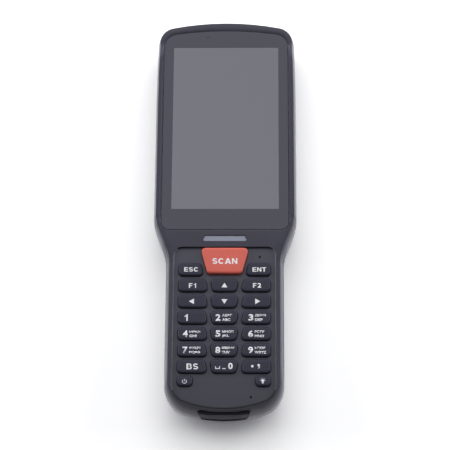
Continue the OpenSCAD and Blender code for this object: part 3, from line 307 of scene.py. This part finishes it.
def boardFinish(name):  # green solder mask over copper runs
    look = boardLook
    finish = Finish(name, {"Coat Weight": look["coat"], "Coat Roughness": look["coatRough"]})
    x, y, z = finish.axes()
    wave = x * look["waves"] + finish.noise(look["wobbleSize"] * mm) * look["wobble"]
    runs = finish.spread(wave.sine(), *look["runs"])
    specks = finish.cells(look["spotSize"] * mm)
    colour = finish.mix(runs * look["runShare"], shade(look["mask"]), shade(look["copper"]))
    colour = finish.mix(finish.spread(specks, *look["spots"]), colour, shade(look["spot"]))
    finish.set({
        "Base Color": colour, "Roughness": look["rough"] + specks * look["spotRough"],
        "Normal": finish.bump(runs, look["depth"] * mm)})
    return finish.material


polyimideLook = dict(
    film="#a0641e", copper="#c98a3c", coat=0.3, waves=5200, runs=(0.0, 0.3), rough=0.3, smearSize=2,
    smearRough=0.1, depth=0.01)


def polyimideFinish(name):
    look = polyimideLook
    finish = Finish(name, {"Coat Weight": look["coat"]})
    x, y, z = finish.axes()
    runs = finish.spread((x * look["waves"]).sine(), *look["runs"])
    finish.set({
        "Base Color": finish.mix(runs, shade(look["film"]), shade(look["copper"])),
        "Roughness": look["rough"] + finish.noise(look["smearSize"] * mm) * look["smearRough"],
        "Normal": finish.bump(runs, look["depth"] * mm)})
    return finish.material


# Clear pieces, glass and display

clearLooks = {
    "light_guide": dict(colour="#575c76", rough=0.35, alpha=1.0),
    "window_red": dict(colour="#2a0509", rough=0.08, alpha=0.94),
    "clear": dict(colour="#dcdcd6", rough=0.12, alpha=0.6),
}
clearShare = dict(
    coatRough=0.03, bending=1.49, dustSize=1.2, tone=0.94, dustTone=0.12, dustRough=0.06, waveSize=9,
    depth=0.01, softEdge=0.1)


def clearFinish(name, look):
    share = clearShare
    finish = Finish(name, {
        "Coat Weight": 1.0, "Coat Roughness": share["coatRough"], "IOR": share["bending"]})
    dust = finish.noise(share["dustSize"] * mm, detail=5.0)
    waves = finish.noise(share["waveSize"] * mm)
    finish.set({
        "Base Color": finish.tone(shade(look["colour"]), share["tone"] + dust * share["dustTone"]),
        "Roughness": look["rough"] + dust * share["dustRough"],
        "Alpha": look["alpha"],
        "Normal": finish.bump(waves, share["depth"] * mm, finish.softEdges(share["softEdge"] * mm))})
    return finish.material


glassLook = dict(  # bezel, over and under lie between the display module's edges and its lit area
    border="#1f1f31", film="#64646f", filmFar="#5e5e69", bezel=2.7, over=3.6, under=7.0, softness=0.09,
    sink=0.55, slant=0.45, past=20, hazeSize=22, haze=0.04, smearSize=6, rough=0.45, smearRough=0.05,
    coatRough=0.02, coatBending=1.4, specular=0.05, softEdge=0.15,
    sensors=((-8.9, 3.4, 1.2, "#07070f"), (7.0, 3.2, 1.5, "#202033")))  # across, drop, radius, colour


def glassFinish(name):  # glass with the border printed on its back and the dark display bonded under it
    look = glassLook
    finish = Finish(name, {
        "Coat Weight": 1.0, "Coat Roughness": look["coatRough"], "Coat IOR": look["coatBending"],
        "Specular IOR Level": look["specular"]})
    x, y, z = finish.axes()
    low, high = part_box("lcd_module")
    halfWidth = (high.x - low.x) / 2 - look["bezel"] * mm
    top = high.y - (look["over"] + look["sink"]) * mm
    bottom = low.y + (look["under"] - look["sink"]) * mm
    soft = look["softness"] * mm
    across = ((halfWidth - abs(x)) / soft).clamped()
    along = (((top - bottom) / 2 - abs(y - (top + bottom) / 2)) / soft).clamped()
    # painted reflection: the display's grey goes from film to filmFar towards the top and right, standing
    # for a reflected lamp
    paintedReflectionRamp = finish.spread(x * look["slant"] + y, bottom, top + look["past"] * mm)
    haze = finish.noise(look["hazeSize"] * mm, detail=2.0)
    film = finish.mix(paintedReflectionRamp, shade(look["film"]), shade(look["filmFar"]))
    film = finish.tone(film, 1 - look["haze"] / 2 + haze * look["haze"])
    colour = finish.mix(across * along, shade(look["border"]), film)
    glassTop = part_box("cover_glass")[1].y
    for sensorX, drop, radius, tint in look["sensors"]:
        aside = x - sensorX * mm
        up = y - (glassTop - drop * mm)
        edge = finish.spread(aside * aside + up * up, (radius * mm) ** 2, (radius * mm / 2) ** 2)
        colour = finish.mix(edge, colour, shade(tint))
    smear = finish.noise(look["smearSize"] * mm, detail=4.0)
    finish.set({
        "Base Color": colour, "Roughness": look["rough"] + smear * look["smearRough"],
        "Normal": finish.softEdges(look["softEdge"] * mm)})
    return finish.material


displayLook = dict(colour="#77777f", waves=24000, rows=0.03, rough=0.3, smearSize=4, smearRough=0.1)


def displayFinish(name):
    look = displayLook
    finish = Finish(name)
    x, y, z = finish.axes()
    rows = (y * look["waves"]).sine()
    finish.set({
        "Base Color": finish.tone(shade(look["colour"]), 1 - look["rows"] + rows * look["rows"]),
        "Roughness": look["rough"] + finish.noise(look["smearSize"] * mm) * look["smearRough"]})
    return finish.material


finishes = {name: plastic(name, look) for name, look in plasticLooks.items()}
finishes.update({name: metal(name, look) for name, look in metalLooks.items()})
finishes.update({name: clearFinish(name, look) for name, look in clearLooks.items()})
finishes["board"] = boardFinish("board")
finishes["polyimide"] = polyimideFinish("polyimide")
finishes["glass"] = glassFinish("glass")
finishes["display"] = displayFinish("display")

smoothLook = dict(merge=0.001, sharp=38, flatWeight=80)  # sharp in degrees


def smoothing():  # joins the corners of a CAD mesh and smooths all but its sharp edges
    group = bpy.data.node_groups.new("smoothing", "GeometryNodeTree")
    group.interface.new_socket("Mesh", in_out="INPUT", socket_type="NodeSocketGeometry")
    group.interface.new_socket("Mesh", in_out="OUTPUT", socket_type="NodeSocketGeometry")
    start = group.nodes.new("NodeGroupInput")
    end = group.nodes.new("NodeGroupOutput")
    merge = group.nodes.new("GeometryNodeMergeByDistance")
    merge.inputs["Distance"].default_value = smoothLook["merge"] * mm
    faces = group.nodes.new("GeometryNodeSetShadeSmooth")
    edges = group.nodes.new("GeometryNodeSetShadeSmooth")
    edges.domain = "EDGE"
    angle = group.nodes.new("GeometryNodeInputMeshEdgeAngle")
    blunt = group.nodes.new("FunctionNodeCompare")
    blunt.operation = "LESS_THAN"
    blunt.inputs[1].default_value = math.radians(smoothLook["sharp"])
    group.links.new(angle.outputs["Unsigned Angle"], blunt.inputs[0])
    group.links.new(blunt.outputs[0], edges.inputs["Shade Smooth"])
    chain = [start, merge, faces, edges, end]
    for first, second in zip(chain, chain[1:]):
        group.links.new(first.outputs[0], second.inputs[0])
    return group


smoothGroup = smoothing()
slotOf = {part["node"]: part["material_slot"] for part in frame["record"]["subparts"]}
for name, node in nodes.items():
    node.data.materials.clear()
    node.data.materials.append(finishes[slotOf[name]])
    if "custom_normal" in node.data.attributes:
        node.data.attributes.remove(node.data.attributes["custom_normal"])
    node.modifiers.new("smoothing", "NODES").node_group = smoothGroup
    flats = node.modifiers.new("flats", "WEIGHTED_NORMAL")  # large faces stay flat beside rounded edges
    flats.keep_sharp = True
    flats.weight = smoothLook["flatWeight"]
print("finishes on", len(nodes), "nodes")


def inScene(piece):
    bpy.context.scene.collection.objects.link(piece)
    return piece


# The panel's own edge: a light lip along its two sides, its lighter colour a painted highlight, and a dark
# line in the seam round its foot, painted shade

panelLook = dict(
    centreUp=24.0, reach=34.0, above=50, step=0.25, halvings=8, rounding=2,
    lip=0.4, lipOut=-0.06, lipUp=0.35, lipHighlightColour="#6c6c78", lipTurns=range(36, 0, -3),
    lipRises=range(0, 51, 3), lipFalls=(4.2, 3.3, 2.5, 1.8, 1.3, 0.9, 0.6),
    seam=0.5, seamOut=-0.02, seamUp=1.15, seamShadeColour="#08080c", seamTurns=range(212, 329, 2))
panelMesh = nodes["keypad_bezel"].data
panelTree = BVHTree.FromPolygons(
    [v.co for v in panelMesh.vertices], [p.vertices for p in panelMesh.polygons])
panelLow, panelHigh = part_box("keypad_bezel")
footCentre = Vector((0, panelLow.y + panelLook["centreUp"] * mm, 0))


def panelEdge(centre, turn):  # the outermost point of the panel in a direction, looked at from above
    ray = Vector((math.cos(math.radians(turn)), math.sin(math.radians(turn)), 0))
    above, down = panelLook["above"] * mm, Vector((0, 0, -1))

    def under(out):
        return panelTree.ray_cast(Vector((*(centre + ray * out).xy, above)), down)[0]

    out = panelLook["reach"] * mm
    while not under(out):
        out -= panelLook["step"] * mm
    inside, outside = out, out + panelLook["step"] * mm
    for _ in range(panelLook["halvings"]):
        middle = (inside + outside) / 2
        inside, outside = (middle, outside) if under(middle) else (inside, middle)
    return under(inside), ray


def panelTrace(name, edges, trace, material):  # a round line that follows the panel's edge
    out, up = panelLook[trace + "Out"] * mm, Vector((0, 0, panelLook[trace + "Up"] * mm))
    data = bpy.data.curves.new(name, "CURVE")
    data.dimensions = "3D"
    data.bevel_depth = panelLook[trace] * mm
    data.bevel_resolution = panelLook["rounding"]
    data.use_fill_caps = True
    line = data.splines.new("POLY")
    line.points.add(len(edges) - 1)
    for point, (edge, ray) in zip(line.points, edges):
        point.co = (*(edge + ray * out + up), 1)
    data.materials.append(material)
    piece = inScene(bpy.data.objects.new(name, data))
    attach(piece, "terminal")


# the lip is the panel's plastic in a lighter colour: a painted highlight on a real rounded lip
lipHighlightMaterial = plastic("panel_lip_highlight", dict(plasticLooks["keypad_panel"], colour=panelLook["lipHighlightColour"]))
for side, turn, way in (("left", 180, 1), ("right", 0, -1)):
    lipEdges = [panelEdge(footCentre, turn + way * angle) for angle in panelLook["lipTurns"]]
    lipEdges += [panelEdge(footCentre + Vector((0, rise * mm, 0)), turn) for rise in panelLook["lipRises"]]
    lipEdges += [
        panelEdge(Vector((0, panelHigh.y - fall * mm, 0)), turn) for fall in panelLook["lipFalls"]]
    panelTrace("panel_lip_highlight_" + side, lipEdges, "lip", lipHighlightMaterial)
# a near-black strip laid in the groove round the panel's foot: painted shade
seamEdges = [panelEdge(footCentre, turn) for turn in panelLook["seamTurns"]]
seamShadeMaterial = plastic("panel_seam_shade", dict(plasticLooks["dark_part"], colour=panelLook["seamShadeColour"]))
panelTrace("panel_seam_foot", seamEdges, "seam", seamShadeMaterial)
print("panel edges traced")

# Marks of the legends, as flat meshes in mm

fontLook = dict(weight=0.035, steps=3)


def wordMesh(text, width, height):  # text of the built-in face that fills a box
    curve = bpy.data.curves.new("word", "FONT")
    curve.body = text
    curve.offset = fontLook["weight"]
    curve.resolution_u = fontLook["steps"]
    source = inScene(bpy.data.objects.new("word", curve))
    bpy.context.view_layer.update()
    mesh = bpy.data.meshes.new_from_object(source)
    bpy.data.objects.remove(source)
    bpy.data.curves.remove(curve)
    xs = [v.co.x for v in mesh.vertices]
    ys = [v.co.y for v in mesh.vertices]
    middle = Vector(((min(xs) + max(xs)) / 2, (min(ys) + max(ys)) / 2, 0))
    size = (max(xs) - min(xs), max(ys) - min(ys))
    mesh.transform(Matrix.Translation(-middle))
    mesh.transform(Matrix.Diagonal((width / size[0], height / size[1], 1, 1)))
    return mesh


def shapeMesh(outlines):  # closed outlines, each a list of points
    shape = bmesh.new()
    for outline in outlines:
        shape.faces.new([shape.verts.new((x, y, 0)) for x, y in outline])
    shape.normal_update()  # a face with a hollow outline is cut up wrongly without its normal
    bmesh.ops.reverse_faces(shape, faces=[face for face in shape.faces if face.normal.z < 0])
    bmesh.ops.triangulate(shape, faces=shape.faces)
    mesh = bpy.data.meshes.new("shape")
    shape.to_mesh(mesh)
    shape.free()
    return mesh


def arcPoint(centre, radii, angle):
    turn = math.radians(angle)
    return (centre[0] + radii[0] * math.cos(turn), centre[1] + radii[1] * math.sin(turn))


def arcPoints(centre, radii, start, stop, count):  # along an ellipse
    return [arcPoint(centre, radii, start + (stop - start) * i / count) for i in range(count + 1)]


def circlePoints(centre, radius, start, stop, count):
    return arcPoints(centre, (radius, radius), start, stop, count)


def band(points, width):  # a stroke of constant width through points, as one outline
    left, right = [], []
    for i, point in enumerate(points):
        before = Vector(points[max(0, i - 1)])
        after = Vector(points[min(len(points) - 1, i + 1)])
        along = (after - before).normalized()
        side = Vector((-along.y, along.x)) * width / 2
        left.append(tuple(Vector(point) + side))
        right.append(tuple(Vector(point) - side))
    return left + right[::-1]


def triangle(angle, width, depth):
    turn = Matrix.Rotation(math.radians(angle), 2)
    corners = [(-width / 2, -depth / 2), (width / 2, -depth / 2), (0, depth / 2)]
    return shapeMesh([[tuple(turn @ Vector(corner)) for corner in corners]])


def spaceMark():
    return shapeMesh([
        [(-1.1, 0.65), (-1.1, -0.65), (-0.75, -0.65), (-0.75, 0.65)],
        [(-0.75, -0.65), (0.75, -0.65), (0.75, -0.3), (-0.75, -0.3)],
        [(0.75, 0.65), (0.75, -0.65), (1.1, -0.65), (1.1, 0.65)]])


def bar(width, height):
    w, h = width / 2, height / 2
    return shapeMesh([[(-w, -h), (w, -h), (w, h), (-w, h)]])


powerLook = dict(radius=0.95, line=0.26, gap=(130, 410), stem=(0.15, 1.2), steps=22)


def powerMark():
    look = powerLook
    ring = circlePoints((0, 0), look["radius"], *look["gap"], look["steps"])
    return shapeMesh([
        band(ring, look["line"]), band([(0, end) for end in look["stem"]], look["line"])])


bulbLook = dict(
    middle=(0, 0.3), radius=0.72, opening=(-60, 240), steps=18, rays=(10, 50, 90, 130, 170),
    reach=(1.0, 1.35), line=0.22, socket=[(-0.4, -1.05), (0.4, -1.05), (0.4, -0.42), (-0.4, -0.42)])


def bulbMark():
    look = bulbLook
    rays = [
        band([arcPoint(look["middle"], (reach, reach), angle) for reach in look["reach"]], look["line"])
        for angle in look["rays"]]
    glow = circlePoints(look["middle"], look["radius"], *look["opening"], look["steps"])
    return shapeMesh([glow, look["socket"], *rays])


dotRadius = 0.62


def commaMark():
    return shapeMesh([
        circlePoints((0, 0.5), dotRadius, 0, 345, 15),
        [(0.6, 0.5), (0.55, -0.3), (0.2, -0.95), (-0.35, -1.15), (-0.05, -0.5), (0.0, 0.1)]])


def dotMark():
    return shapeMesh([circlePoints((0, 0), dotRadius, 0, 342, 18)])


oneHeight = 3.3
oneCorners = [
    (0.0, -1.65), (0.66, -1.65), (0.66, 1.65), (0.16, 1.65), (-0.08, 1.22), (-0.42, 0.94),
    (-0.84, 0.76), (-0.84, 0.26), (-0.42, 0.4), (0.0, 0.66)]


def oneMark(height):
    k = height / oneHeight
    return shapeMesh([[(x * k, y * k) for x, y in oneCorners]])


# Bold capitals one unit tall: the width of each, then its outlines

stroke = 0.22
letterGap = 0.13
bowUp = arcPoints((0.42, 0.72), (0.22, 0.19), 80, -80, 8)
bowDown = arcPoints((0.44, 0.285), (0.25, 0.195), 80, -80, 8)
curlUp = arcPoints((0.38, 0.71), (0.27, 0.2), 20, 250, 12)
curlDown = arcPoints((0.38, 0.29), (0.28, 0.2), 70, -160, 12)
letters = {
    "A": (0.94, [
        [(0, 0), (0.25, 0), (0.31, 0.19), (0.47, 0.19), (0.47, 0.36), (0.37, 0.36), (0.47, 0.7),
         (0.47, 1), (0.34, 1)],
        [(0.94, 0), (0.6, 1), (0.47, 1), (0.47, 0.7), (0.57, 0.36), (0.47, 0.36), (0.47, 0.19),
         (0.63, 0.19), (0.69, 0)]]),
    "B": (0.8, [
        [(0, 0), (stroke, 0), (stroke, 1), (0, 1)],
        band([(stroke, 0.91), (0.4, 0.91)] + bowUp + [(0.4, 0.53), (stroke, 0.53)], 0.18),
        band([(stroke, 0.48), (0.42, 0.48)] + bowDown + [(0.42, 0.09), (stroke, 0.09)], 0.18)]),
    "C": (0.84, [band(arcPoints((0.44, 0.5), (0.33, 0.4), 42, 318, 16), stroke)]),
    "E": (0.74, [[
        (0, 0), (0.74, 0), (0.74, 0.18), (stroke, 0.18), (stroke, 0.42), (0.68, 0.42), (0.68, 0.59),
        (stroke, 0.59), (stroke, 0.82), (0.72, 0.82), (0.72, 1), (0, 1)]]),
    "F": (0.68, [[
        (0, 0), (stroke, 0), (stroke, 0.41), (0.6, 0.41), (0.6, 0.58), (stroke, 0.58),
        (stroke, 0.82), (0.68, 0.82), (0.68, 1), (0, 1)]]),
    "N": (0.8, [[
        (0, 0), (0.2, 0), (0.2, 0.64), (0.6, 0), (0.8, 0), (0.8, 1), (0.6, 1), (0.6, 0.36),
        (0.2, 1), (0, 1)]]),
    "S": (0.76, [band(curlUp + curlDown, 0.19)]),
    "T": (0.76, [[
        (0.27, 0), (0.49, 0), (0.49, 0.82), (0.76, 0.82), (0.76, 1), (0, 1), (0, 0.82),
        (0.27, 0.82)]]),
}


def capitals(text, width, height):  # a word of the letters above that fills a box
    outlines, x = [], 0
    for letter in text:
        wide, shapes = letters[letter]
        outlines += [[(x + u, v - 0.5) for u, v in shape] for shape in shapes]
        x += wide + letterGap
    x -= letterGap
    return shapeMesh([[((u - x / 2) * width / x, v * height) for u, v in outline] for outline in outlines])


# Legends: thin print that lies on the keys

legendLook = dict(
    rise=0.004, thickness=0.02, colour="#e4e4e8", specular=0.4, wearSize=0.5, tone=0.95, wear=0.08,
    rough=0.5, wearRough=0.1, depth=0.002)
legends = {  # each key's marks: what, then where its middle lies from the key's middle
    "scan": [(capitals("SCAN", 11.9, 2.9), 0.1, -0.4)],
    "escape": [(capitals("ESC", 6.7, 2.2), 0.25, -0.3)],
    "enter": [(capitals("ENT", 6.5, 2.2), 0.4, -0.35)],
    "f1": [(capitals("F", 1.75, 2.35), -0.95, -0.42), (oneMark(2.35), 1.1, -0.42)],
    "f2": [(capitals("F", 1.75, 2.35), -0.65, -0.35), (wordMesh("2", 1.8, 2.35), 1.5, -0.35)],
    "up": [(triangle(0, 2.8, 2.3), 0, -0.17)],
    "left": [(triangle(90, 2.8, 2.4), -0.52, -0.29)],
    "down": [(triangle(180, 2.8, 2.3), 0, -0.39)],
    "right": [(triangle(-90, 2.8, 2.4), 0.72, -0.29)],
    "1": [(oneMark(oneHeight), -2.8, -0.33)],
    "backspace": [(capitals("BS", 5.5, 2.9), 0.3, -0.27)],
    "0": [
        (spaceMark(), -2.95, -0.82), (bar(1.6, 0.35), 0.05, -1.32),
        (wordMesh("0", 2.1, 3.2), 3.05, -0.12)],
    "point": [(dotMark(), -1.78, -0.12), (commaMark(), 1.22, -0.22)],
    "power": [(powerMark(), -0.12, -0.4)],
    "light": [(bulbMark(), -0.08, -0.3)],
}
groupLook = dict(digit=(2.3, 3.3), small=1.3, gap=0.75, digitRise=-0.33, upperRise=0.72, lowerRise=-1.43)
letterGroups = {  # upper row, lower row, the digit's place across, and the width of each row
    "2": ("АБВГ", "ABC", -2.9, 4.7, 3.9), "3": ("ДЕЖЗ", "DEF", -2.48, 5.2, 3.6),
    "4": ("ИЙКЛ", "GHI", -3.22, 5.1, 3.4), "5": ("МНОП", "JKL", -2.9, 5.3, 3.4),
    "6": ("РСТУ", "MNO", -2.58, 4.5, 4.4), "7": ("ФХЦЧ", "PQRS", -3.22, 5.2, 5.2),
    "8": ("ШЩЪЫ", "TUV", -2.9, 5.7, 3.7), "9": ("ЬЭЮЯ", "WXYZ", -2.58, 4.9, 5.4),
}
for digit, (upper, lower, x, upperWidth, lowerWidth) in letterGroups.items():
    left = x + groupLook["digit"][0] / 2 + groupLook["gap"]
    legends[digit] = [
        (wordMesh(digit, *groupLook["digit"]), x, groupLook["digitRise"]),
        (wordMesh(upper, upperWidth, groupLook["small"]), left + upperWidth / 2, groupLook["upperRise"]),
        (wordMesh(lower, lowerWidth, groupLook["small"]), left + lowerWidth / 2, groupLook["lowerRise"])]


def legendFinish():
    look = legendLook
    finish = Finish("legend_print", {"Specular IOR Level": look["specular"]})
    wear = finish.noise(look["wearSize"] * mm)
    finish.set({
        "Base Color": finish.tone(shade(look["colour"]), look["tone"] + wear * look["wear"]),
        "Roughness": look["rough"] + wear * look["wearRough"],
        "Normal": finish.bump(wear, look["depth"] * mm)})
    return finish.material


def legendPiece(key, marks, material):
    low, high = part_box("key_" + key)
    middle = (low + high) / 2
    top = high.z + legendLook["rise"] * mm
    whole = bmesh.new()
    for mesh, x, y in marks:
        mesh.transform(Matrix.Diagonal((mm, mm, mm, 1)))
        mesh.transform(Matrix.Translation((middle.x + x * mm, middle.y + y * mm, top)))
        whole.from_mesh(mesh)
        bpy.data.meshes.remove(mesh)
    data = bpy.data.meshes.new("legend_" + key)
    whole.to_mesh(data)
    whole.free()
    data.materials.append(material)
    piece = inScene(bpy.data.objects.new("legend_" + key, data))
    thick = piece.modifiers.new("thickness", "SOLIDIFY")
    thick.thickness = legendLook["thickness"] * mm
    thick.offset = 0.0
    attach(piece, "key_" + key)


legendMaterial = legendFinish()
for key, marks in legends.items():
    legendPiece(key, marks, legendMaterial)
print("legends on", len(legends), "keys")

# Floor, lights and camera, in metres

stageLook = dict(
    floor="#e6e6e6", shown=1.7, size=3.0, fade=(0.36, 0.6), sunk=0.0003, cloudSize=0.3, cloud=0.01,
    rough=0.9, specular=0.1, worldLight=0.15, worldColour="#f6f7ff", seen="#ffffff")


def floorFinish():  # whiter to the camera than to the part, fading out far away, and clear from below
    look = stageLook
    finish = Finish("floor", {"Roughness": look["rough"], "Specular IOR Level": look["specular"]})
    path = finish.node("ShaderNodeLightPath", output="Is Camera Ray")
    mirrored = finish.node("ShaderNodeLightPath", output="Is Glossy Ray")
    seen = (path + mirrored).clamped()
    clouds = 1 - look["cloud"] + finish.noise(look["cloudSize"]) * look["cloud"]
    factor = (1 + seen * (look["shown"] - 1)) * clouds
    x, y, z = finish.axes()
    far = finish.spread((x * x + y * y).root(), *look["fade"])
    fromBelow = finish.node("ShaderNodeNewGeometry", output="Backfacing")
    towardsLamp = finish.node("ShaderNodeLightPath", output="Is Shadow Ray")
    clear = (seen * far + fromBelow + towardsLamp).clamped()
    finish.set({"Base Color": finish.tone(shade(look["floor"]), factor), "Alpha": 1 - clear})
    return finish.material


def floorPiece():
    half = stageLook["size"] / 2
    corners = [(-half, -half, 0), (half, -half, 0), (half, half, 0), (-half, half, 0)]
    mesh = bpy.data.meshes.new("floor")
    mesh.from_pydata(corners, [], [(0, 1, 2, 3)])
    mesh.materials.append(floorFinish())
    piece = inScene(bpy.data.objects.new("floor", mesh))
    piece.location.z = -stageLook["sunk"]


lamps = {
    "top": dict(place=(0.0, 0.45, 1.15), aim=(0, 0, 0), size=(2.0, 0.9), power=7.5),
    "back": dict(place=(0.0, 1.05, 0.8), aim=(0, 0, 0), size=(1.2, 0.6), power=5.0),
    "left": dict(place=(-0.95, 0.4, 0.28), aim=(0, 0, 0.01), size=(1.1, 0.5), power=8.6),
    "right": dict(place=(0.95, 0.4, 0.28), aim=(0, 0, 0.01), size=(1.1, 0.5), power=8.6),
    "below": dict(place=(0.0, 0.0, -1.1), aim=(0, 0, 0), size=(1.6, 1.6), power=17.0),
}


def lamp(name, look):
    data = bpy.data.lights.new(name, "AREA")
    data.shape = "RECTANGLE"
    data.size, data.size_y = look["size"]
    data.energy = look["power"]
    holder = inScene(bpy.data.objects.new(name, data))
    place = Vector(look["place"])
    holder.location = place
    holder.rotation_euler = (Vector(look["aim"]) - place).to_track_quat("-Z", "Y").to_euler()


def worldLight():  # white where it is seen or mirrored, and a faint light elsewhere
    world = bpy.data.worlds.new("studio")
    bpy.context.scene.world = world
    world.use_nodes = True
    tree = world.node_tree
    tree.nodes.clear()
    path = tree.nodes.new("ShaderNodeLightPath")
    seen = tree.nodes.new("ShaderNodeBackground")
    seen.inputs["Color"].default_value = shade(stageLook["seen"])
    given = tree.nodes.new("ShaderNodeBackground")
    given.inputs["Color"].default_value = shade(stageLook["worldColour"])
    given.inputs["Strength"].default_value = stageLook["worldLight"]
    either = tree.nodes.new("ShaderNodeMath")
    either.operation = "MAXIMUM"
    anyOf = tree.nodes.new("ShaderNodeMath")
    anyOf.operation = "MAXIMUM"
    choose = tree.nodes.new("ShaderNodeMixShader")
    output = tree.nodes.new("ShaderNodeOutputWorld")
    for start, end in (
            (path.outputs["Is Camera Ray"], either.inputs[0]),
            (path.outputs["Is Glossy Ray"], either.inputs[1]),
            (either.outputs[0], anyOf.inputs[0]),
            (path.outputs["Is Transmission Ray"], anyOf.inputs[1]),
            (anyOf.outputs[0], choose.inputs[0]),
            (given.outputs[0], choose.inputs[1]),
            (seen.outputs[0], choose.inputs[2]),
            (choose.outputs[0], output.inputs[0])):
        tree.links.new(start, end)


cameraLook = dict(  # angles in degrees, lens and sensor in mm
    place=(0.0181, -0.3481, 0.8833), roll=0.40, tilt=21.54, yaw=1.20, lens=154.66, sensor=36.0, near=0.05)


def photoCamera():
    look = cameraLook
    data = bpy.data.cameras.new("camera")
    data.lens = look["lens"]
    data.sensor_width = look["sensor"]
    data.clip_start = look["near"]
    holder = inScene(bpy.data.objects.new("camera", data))
    turn = (
        Matrix.Rotation(math.radians(look["yaw"]), 4, "Y")
        @ Matrix.Rotation(math.radians(look["tilt"]), 4, "X")
        @ Matrix.Rotation(math.radians(look["roll"]), 4, "Z"))
    holder.matrix_world = Matrix.Translation(look["place"]) @ turn
    bpy.context.scene.camera = holder


floorPiece()
for name, look in lamps.items():
    lamp(name, look)
worldLight()
photoCamera()
bpy.context.scene.view_settings.view_transform = "Standard"
print("floor, lamps and camera placed")
